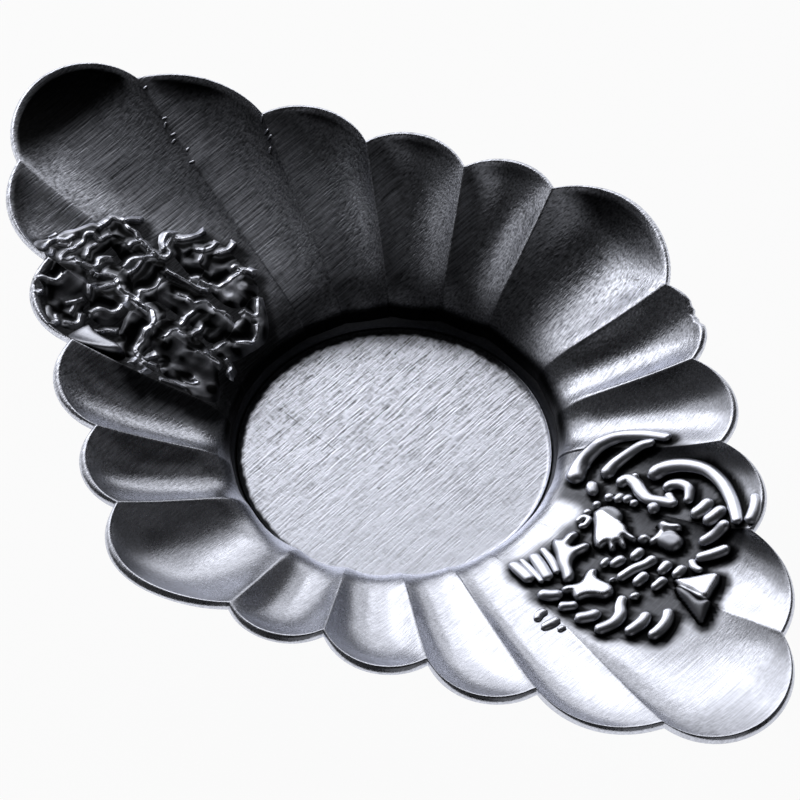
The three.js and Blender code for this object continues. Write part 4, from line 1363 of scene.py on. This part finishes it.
def lip_fields(spots):
    """For each spot: its way past the nearest lip, the lip's height, its wear, and its hollow."""
    gap, crest, worn, hollow = (np.full(len(spots), value) for value in (NO_LIP, 0.0, 0.0, 0.0))
    for points, shade, width in LIPS:
        line = rounded(points, LIP_STEP)
        ways = np.gradient(line, axis=0)
        ways /= np.hypot(*ways.T)[:, None]
        aside = np.stack([-ways[:, 1], ways[:, 0]], 1)
        turned = -np.where(aside @ WINDOW_WAY > 0, 1, -1)
        low, high = line.min(0) - LIP_ROOM, line.max(0) + LIP_ROOM
        close = np.flatnonzero(np.all((spots > low) & (spots < high), axis=1))
        distance = np.full(len(close), np.inf)
        shaded, behind, beyond = (np.zeros(len(close)) for _ in range(3))
        for spot, way, normal, sign in zip(line, ways, aside, turned):
            offset = spots[close] - spot
            away = np.hypot(*offset.T)
            nearer = away < distance
            distance[nearer] = away[nearer]
            across = offset @ normal
            shaded[nearer] = (shade * across / np.maximum(away, 1e-6))[nearer]
            behind[nearer] = sign * across[nearer]
            beyond[nearer] = np.abs(offset @ way)[nearer]
        size = np.clip(width / LIP_USUAL, *LIP_SIZES)
        slope = np.where(behind < 0, 1 + behind / (LIP_SLOPE * size), 1 - behind / LIP_DROP)
        lip = np.clip(slope, 0, 1) * np.exp(-(beyond / LIP_FADE) ** 2)
        past = np.where(behind < 0, -behind - LIP_SLOPE * size, behind - LIP_DROP)
        past = np.maximum.reduce([past, beyond - LIP_END, np.zeros(len(close))])
        gap[close] = np.minimum(gap[close], past)
        crest[close] = np.maximum(crest[close], LIP_CREST * math.sqrt(size) * lip)
        in_shade = ease(shaded, *SHADED_SIDE)
        halo = HALO_WEAR * (1 - HALO_SHADED * in_shade) * (1 - ease(past, 0.0, HALO_REACH))
        worn[close] = np.maximum.reduce([worn[close], 1 - ease(past, 0.0, WEAR_REACH), halo])
        # A hollow is black with patina and with painted shade on the lip's shaded side
        one_sided = in_shade * ease(past, 0.0, HOLLOW_START)
        hollow[close] = np.maximum(hollow[close], one_sided * np.exp(-(past / HOLLOW_REACH) ** 2))
    return gap, crest, worn, hollow


# %% The face of the left spray
PETAL_STEP, PETAL_ROOM = 0.2, 5.0
# The lips aren't drawn quite true: how far they stray, and the waves that make them stray
STRAY, STRAY_SEEDS, STRAY_WAVES = 0.05, (3, 5), (1.2, 3.0)
LIP_ROOT = 0.2
# The painted shadow beside the petals lies further this way
LEFT_SHADE_SHIFT = np.array([1.3, -1.0])

petal_spots, petal_reach, petal_of = [], [], []
for number, (points, widths) in enumerate(PETALS.values()):
    middle = rounded(points, PETAL_STEP)
    petal_spots.append(middle)
    petal_reach.append(np.interp(np.linspace(0, 1, len(middle)), [0, 0.5, 1], widths) / 2)
    petal_of.append(np.full(len(middle), number))
petal_spots, petal_reach, petal_of = map(np.concatenate, (petal_spots, petal_reach, petal_of))

counts, spots = grid_over(petal_spots, PETAL_ROOM, PETAL_GRAIN)
outside, shaded_by = np.full(len(spots), np.inf), np.full(len(spots), np.inf)
owner = np.zeros(len(spots), dtype=int)
for spot, reach, number in zip(petal_spots, petal_reach, petal_of):
    away = np.hypot(*(spots - spot).T) - reach
    closer = away < outside
    outside[closer] = away[closer]
    owner[closer] = number
    shaded_by = np.minimum(shaded_by, np.hypot(*(spots - LEFT_SHADE_SHIFT - spot).T) - reach)
strays = np.stack([wave_field(spots, seed, *STRAY_WAVES) for seed in STRAY_SEEDS], 1)
gap, crest, worn, hollow = lip_fields(spots + STRAY * strays)
outside = np.minimum(outside, gap - LIP_ROOT)
on_face = outside < PETAL_MARGIN
print("face:", int(on_face.sum()), "of", len(spots), "points of the grid lie on it")

# %% Heights of the face
BODY_EDGE, LIP_EDGE = 0.4, -0.2
# Ruffles and uneven lips: a seed, the shortest and longest wave, then what the waves change
RUFFLE, RUFFLE_HEIGHT, RUFFLE_SKIN = (7, 1.6, 5.0), 0.06, 0.08
UNEVEN_CREST, CREST_MEAN, CREST_CHANGE, CREST_LIMITS = (11, 0.8, 2.0), 0.9, 0.15, (0.5, 1.2)
level = plate_levels(spots, on_face)
inside = ~np.isnan(level)
ruffle = wave_field(spots, *RUFFLE)
body = ease(-outside, -PETAL_MARGIN, BODY_EDGE)
face = PETAL_FACE + RUFFLE_HEIGHT * ruffle
uneven = np.clip(CREST_MEAN + CREST_CHANGE * wave_field(spots, *UNEVEN_CREST), *CREST_LIMITS)
lips = ease(-outside, -PETAL_MARGIN, LIP_EDGE) * crest * uneven
top = level - SINK + body * (face + (PETAL_PIT - face) * hollow) + lips
print("lips: up to", round(float(lips.max()), 2), "mm above the face")

# %% Dark skin and painted shade of the face
PLATE_SKIN, FACE_SKIN = 0.28, 0.87
SHADE_SKIN, SHADE_REACH, FACE_EDGE = 0.9, (0.2, 1.2), (-0.3, 0.8)
# A worn face is bright within the first share of its radius and as dark as before past the second
WORN_SHARES = (0.4, 1.4)
UNEVEN_WEAR, WEAR_MEAN, WEAR_CHANGE, WEAR_LIMITS = (13, 0.8, 2.4), 0.95, 0.2, (0.5, 1)
# The black of the hollows is patina and painted shade
HOLLOW_BLACK = (0.1, 0.5)
# The petals' margin takes the painted shadow that the plate has beside the left spray
margin_skin_and_shade = np.maximum(PLATE_SKIN, SHADE_SKIN * (1 - ease(shaded_by, *SHADE_REACH)))
dull = margin_skin_and_shade + (FACE_SKIN - margin_skin_and_shade) * ease(-outside, *FACE_EDGE)
for centre, radius, left_dark in WORN_FACES:
    away = np.hypot(*(spots - centre).T) / radius
    dull = np.minimum(dull, left_dark + ease(away, *WORN_SHARES))
dull = np.clip(dull + RUFFLE_SKIN * ruffle, 0, 1)
worn *= np.clip(WEAR_MEAN + WEAR_CHANGE * wave_field(spots, *UNEVEN_WEAR), *WEAR_LIMITS)
skin = (dull + (1 - dull) * ease(hollow, *HOLLOW_BLACK)) * (1 - worn)
print("face skin:", int((skin[inside] > 0.5).sum()), "of", int(inside.sum()), "points are black")

# %% One sheet for each petal
cells = whole_cells(inside, counts)
owners = owner.reshape(counts)[:-1, :-1]
for number, node in enumerate(PETALS):
    petal = carved_sheet(node + "_carving", cells & (owners == number), counts, spots,
                         top, level - UNDERSIDE, skin, relief_tin)
    outward_faces(petal)
    fit(petal, "relief_tin", node)

# %% [markdown]
# Black skin and painted shade round the sprays
#
# Between the castings of the right spray the plate is dark, patina and painted shade, and a painted
# shadow lies on the plate beside the castings of both sprays, on the side away from the window. A
# painted dark reflection lies on the far side of the lip. Patina lies in the lobes of the rim, with
# painted shade added on the far side, and the far side is darker near the left tip and beside the
# well. The rim's own edge is worn bright. The cell measures how near each point of the plate is to
# all of these and stores the darkest as the plate's own skin and shade.

# %% Black skin and painted shade round the sprays
CASTING_GRAIN = 0.2


def distance_to(pieces, spots):
    """How far each plan point is from the nearest of some pieces."""
    found = np.vstack([plan_points(piece) for piece in pieces])
    found = np.unique(np.round(found / CASTING_GRAIN).astype(int), axis=0) * CASTING_GRAIN
    tree = KDTree(len(found))
    for index, spot in enumerate(found):
        tree.insert((*spot, 0), index)
    tree.balance()
    return np.array([tree.find((*spot, 0))[2] for spot in spots])


# The dark ground of the right spray, patina and painted shade, drawn as an outline in plan
# millimetres
BLACK_GROUND = [
    (20.2, 7.4), (18.9, 9.6), (18.2, 12.5), (18.7, 16.0), (20.5, 18.8), (24.0, 20.6), (27.5, 21.5),
    (31.0, 21.7), (35.0, 21.3), (39.4, 20.4), (42.0, 18.6), (43.4, 16.8), (43.8, 15.0),
    (43.8, 13.4), (43.4, 12.0), (45.0, 11.9), (46.0, 11.3), (46.8, 9.6), (47.3, 7.8), (48.0, 6.0),
    (47.6, 5.0), (46.6, 4.2), (46.2, 3.0), (46.6, 1.5), (46.6, 0.0), (46.0, -1.4), (44.6, -2.0),
    (43.4, -2.6), (41.6, -4.0), (39.8, -5.0), (37.4, -5.1), (36.0, -5.6), (33.0, -5.8),
    (30.0, -6.2), (28.6, -5.2), (26.0, -5.6), (24.4, -4.8), (23.4, -3.4), (24.2, -1.2), (24.2, 1.2),
    (24.7, 3.0), (24.3, 4.8), (24.6, 7.0), (23.6, 8.0), (22.0, 7.7),
]
GROUND_STEP, GROUND_PATINA_AND_SHADE, GROUND_EDGE = 0.4, 0.8, (-0.7, 0.9)
# The shade beside the castings: its shift on the right, and where it is black and ends on each side
SHADE_SHIFT = np.array([0.6, 0.05])
RIGHT_SHADE, LEFT_SHADE, LEFT_SHADE_SKIN = (0.2, 1.2), (0.2, 2.2), 0.95
# These two castings cast no painted shadow on the plate
BARE = ("low_leaf", "stem_leaf")


def carvings(nodes):
    """The carved pieces of some nodes, without the bare ones."""
    return [bpy.data.objects[node + "_carving"] for node in nodes if node not in BARE]


spots = plan_points(plate)
# Painted shadows on the plate beside the castings of both sprays, on the side away from the window
to_right = distance_to(carvings([*RIGHT_STRANDS, *LEAVES]), spots - SHADE_SHIFT)
to_left = distance_to(carvings(PETALS), spots - LEFT_SHADE_SHIFT)
in_ground = depth_inside(spots, rounded([*BLACK_GROUND, BLACK_GROUND[0]], GROUND_STEP)[:-1])
spray_patina_and_shade = np.maximum.reduce([
    1 - ease(to_right, *RIGHT_SHADE), GROUND_PATINA_AND_SHADE * ease(in_ground, *GROUND_EDGE),
    LEFT_SHADE_SKIN * (1 - ease(to_left, *LEFT_SHADE)),
])
print("sprays:", int((spray_patina_and_shade > 0.5).sum()), "points of the plate are black round them")

# %% Painted shade of the lip, and skin of the lobes and the rim
FAR_WAY = np.array([-0.743, 0.669])
# The painted dark reflection on the far side of the lip: the radii where it is full and where it
# ends, and its side
LIP_SHADE_RADII, LIP_SIDE = (20.0, 21.4), (-0.55, 0.1)
RIM_WEAR = (0.25, 0.8)
# Patina in the lobes, with painted shade added on the far side: where the far side starts and is
# full, and the share of it on the near side
FAR_SIDE, NEAR_PATINA_AND_SHADE = (8.0, 34.0), 0.2
# It starts at the line between a lobe's notches, further in on the lobe of the left tip
TIP_REACH, TIP_TURN, TIP_DEEPER, TIP_SHORTER = (46.0, 54.0), 0.05, 7.0, 0.4
LOBE_DARK_FROM, LOBE_DARK_TO = -0.3, 2.6
RIDGE_PATINA_AND_SHADE, RIDGE_REACH = 0.4, 1.8

along, far = -spots[:, 0], spots @ FAR_WAY
radius = np.hypot(*spots.T)
lip_shade = ease(far / radius, *LIP_SIDE) * (1 - ease(radius, *LIP_SHADE_RADII))
far_side = ease(far, *FAR_SIDE)
on_tip = far_side * ease(along, *TIP_REACH)
past_notches = -depth_inside(spots, notches) + TIP_TURN * spots[:, 1] * on_tip
feet = LIP_RADIUS * np.stack([np.cos(lip_angles[:-1]), np.sin(lip_angles[:-1])], 1)
ridges = list(zip(notches, feet))
to_ridge = np.min([distance_from(spots, *ridge) for ridge in ridges], axis=0)
lobe_patina_and_shade = ease(past_notches, LOBE_DARK_FROM - TIP_DEEPER * on_tip, LOBE_DARK_TO - TIP_SHORTER * on_tip)
lobe_patina_and_shade *= NEAR_PATINA_AND_SHADE + (1 - NEAR_PATINA_AND_SHADE) * far_side
lobe_patina_and_shade *= RIDGE_PATINA_AND_SHADE + (1 - RIDGE_PATINA_AND_SHADE) * ease(to_ridge, 0.0, RIDGE_REACH)
for place, dark in (("lip", lip_shade), ("lobes", lobe_patina_and_shade)):
    print(place + ":", int((dark > 0.5).sum()), "points of the plate are black there")

# %% Darker far side
# Darkening towards the left tip, where it starts and is full along the plate and towards the far
# side
FAR_DARKENING, FAR_DARKENING_ALONG, FAR_DARKENING_FAR = 0.7, (10.0, 44.0), (17.0, 33.0)
# The ridge by the tip lobe is rubbed: the share of the darkening on it, and where that ends
TIP_NOTCH, RUBBED_RIDGE, RUBBED_REACH = 10, 0.35, (2.0, 7.0)
WELL_DARKENING, WELL_SIDE, WELL_REACH = 0.75, (0.3, 0.8), (22.0, 38.0)

far_darkening = FAR_DARKENING * ease(along, *FAR_DARKENING_ALONG) * ease(far, *FAR_DARKENING_FAR)
to_tip_ridge = distance_from(spots, *ridges[TIP_NOTCH])
far_darkening *= RUBBED_RIDGE + (1 - RUBBED_RIDGE) * ease(to_tip_ridge, *RUBBED_REACH)
by_well = WELL_DARKENING * ease(far / radius, *WELL_SIDE) * (1 - ease(radius, *WELL_REACH))
skin = np.maximum.reduce([spray_patina_and_shade, lip_shade, lobe_patina_and_shade, far_darkening, by_well])
skin *= ease(depth_inside(spots, rim), *RIM_WEAR)
keep_skin_and_shade(plate, skin)
print("skin:", int((skin > 0.5).sum()), "of", len(skin), "points of the plate are black")
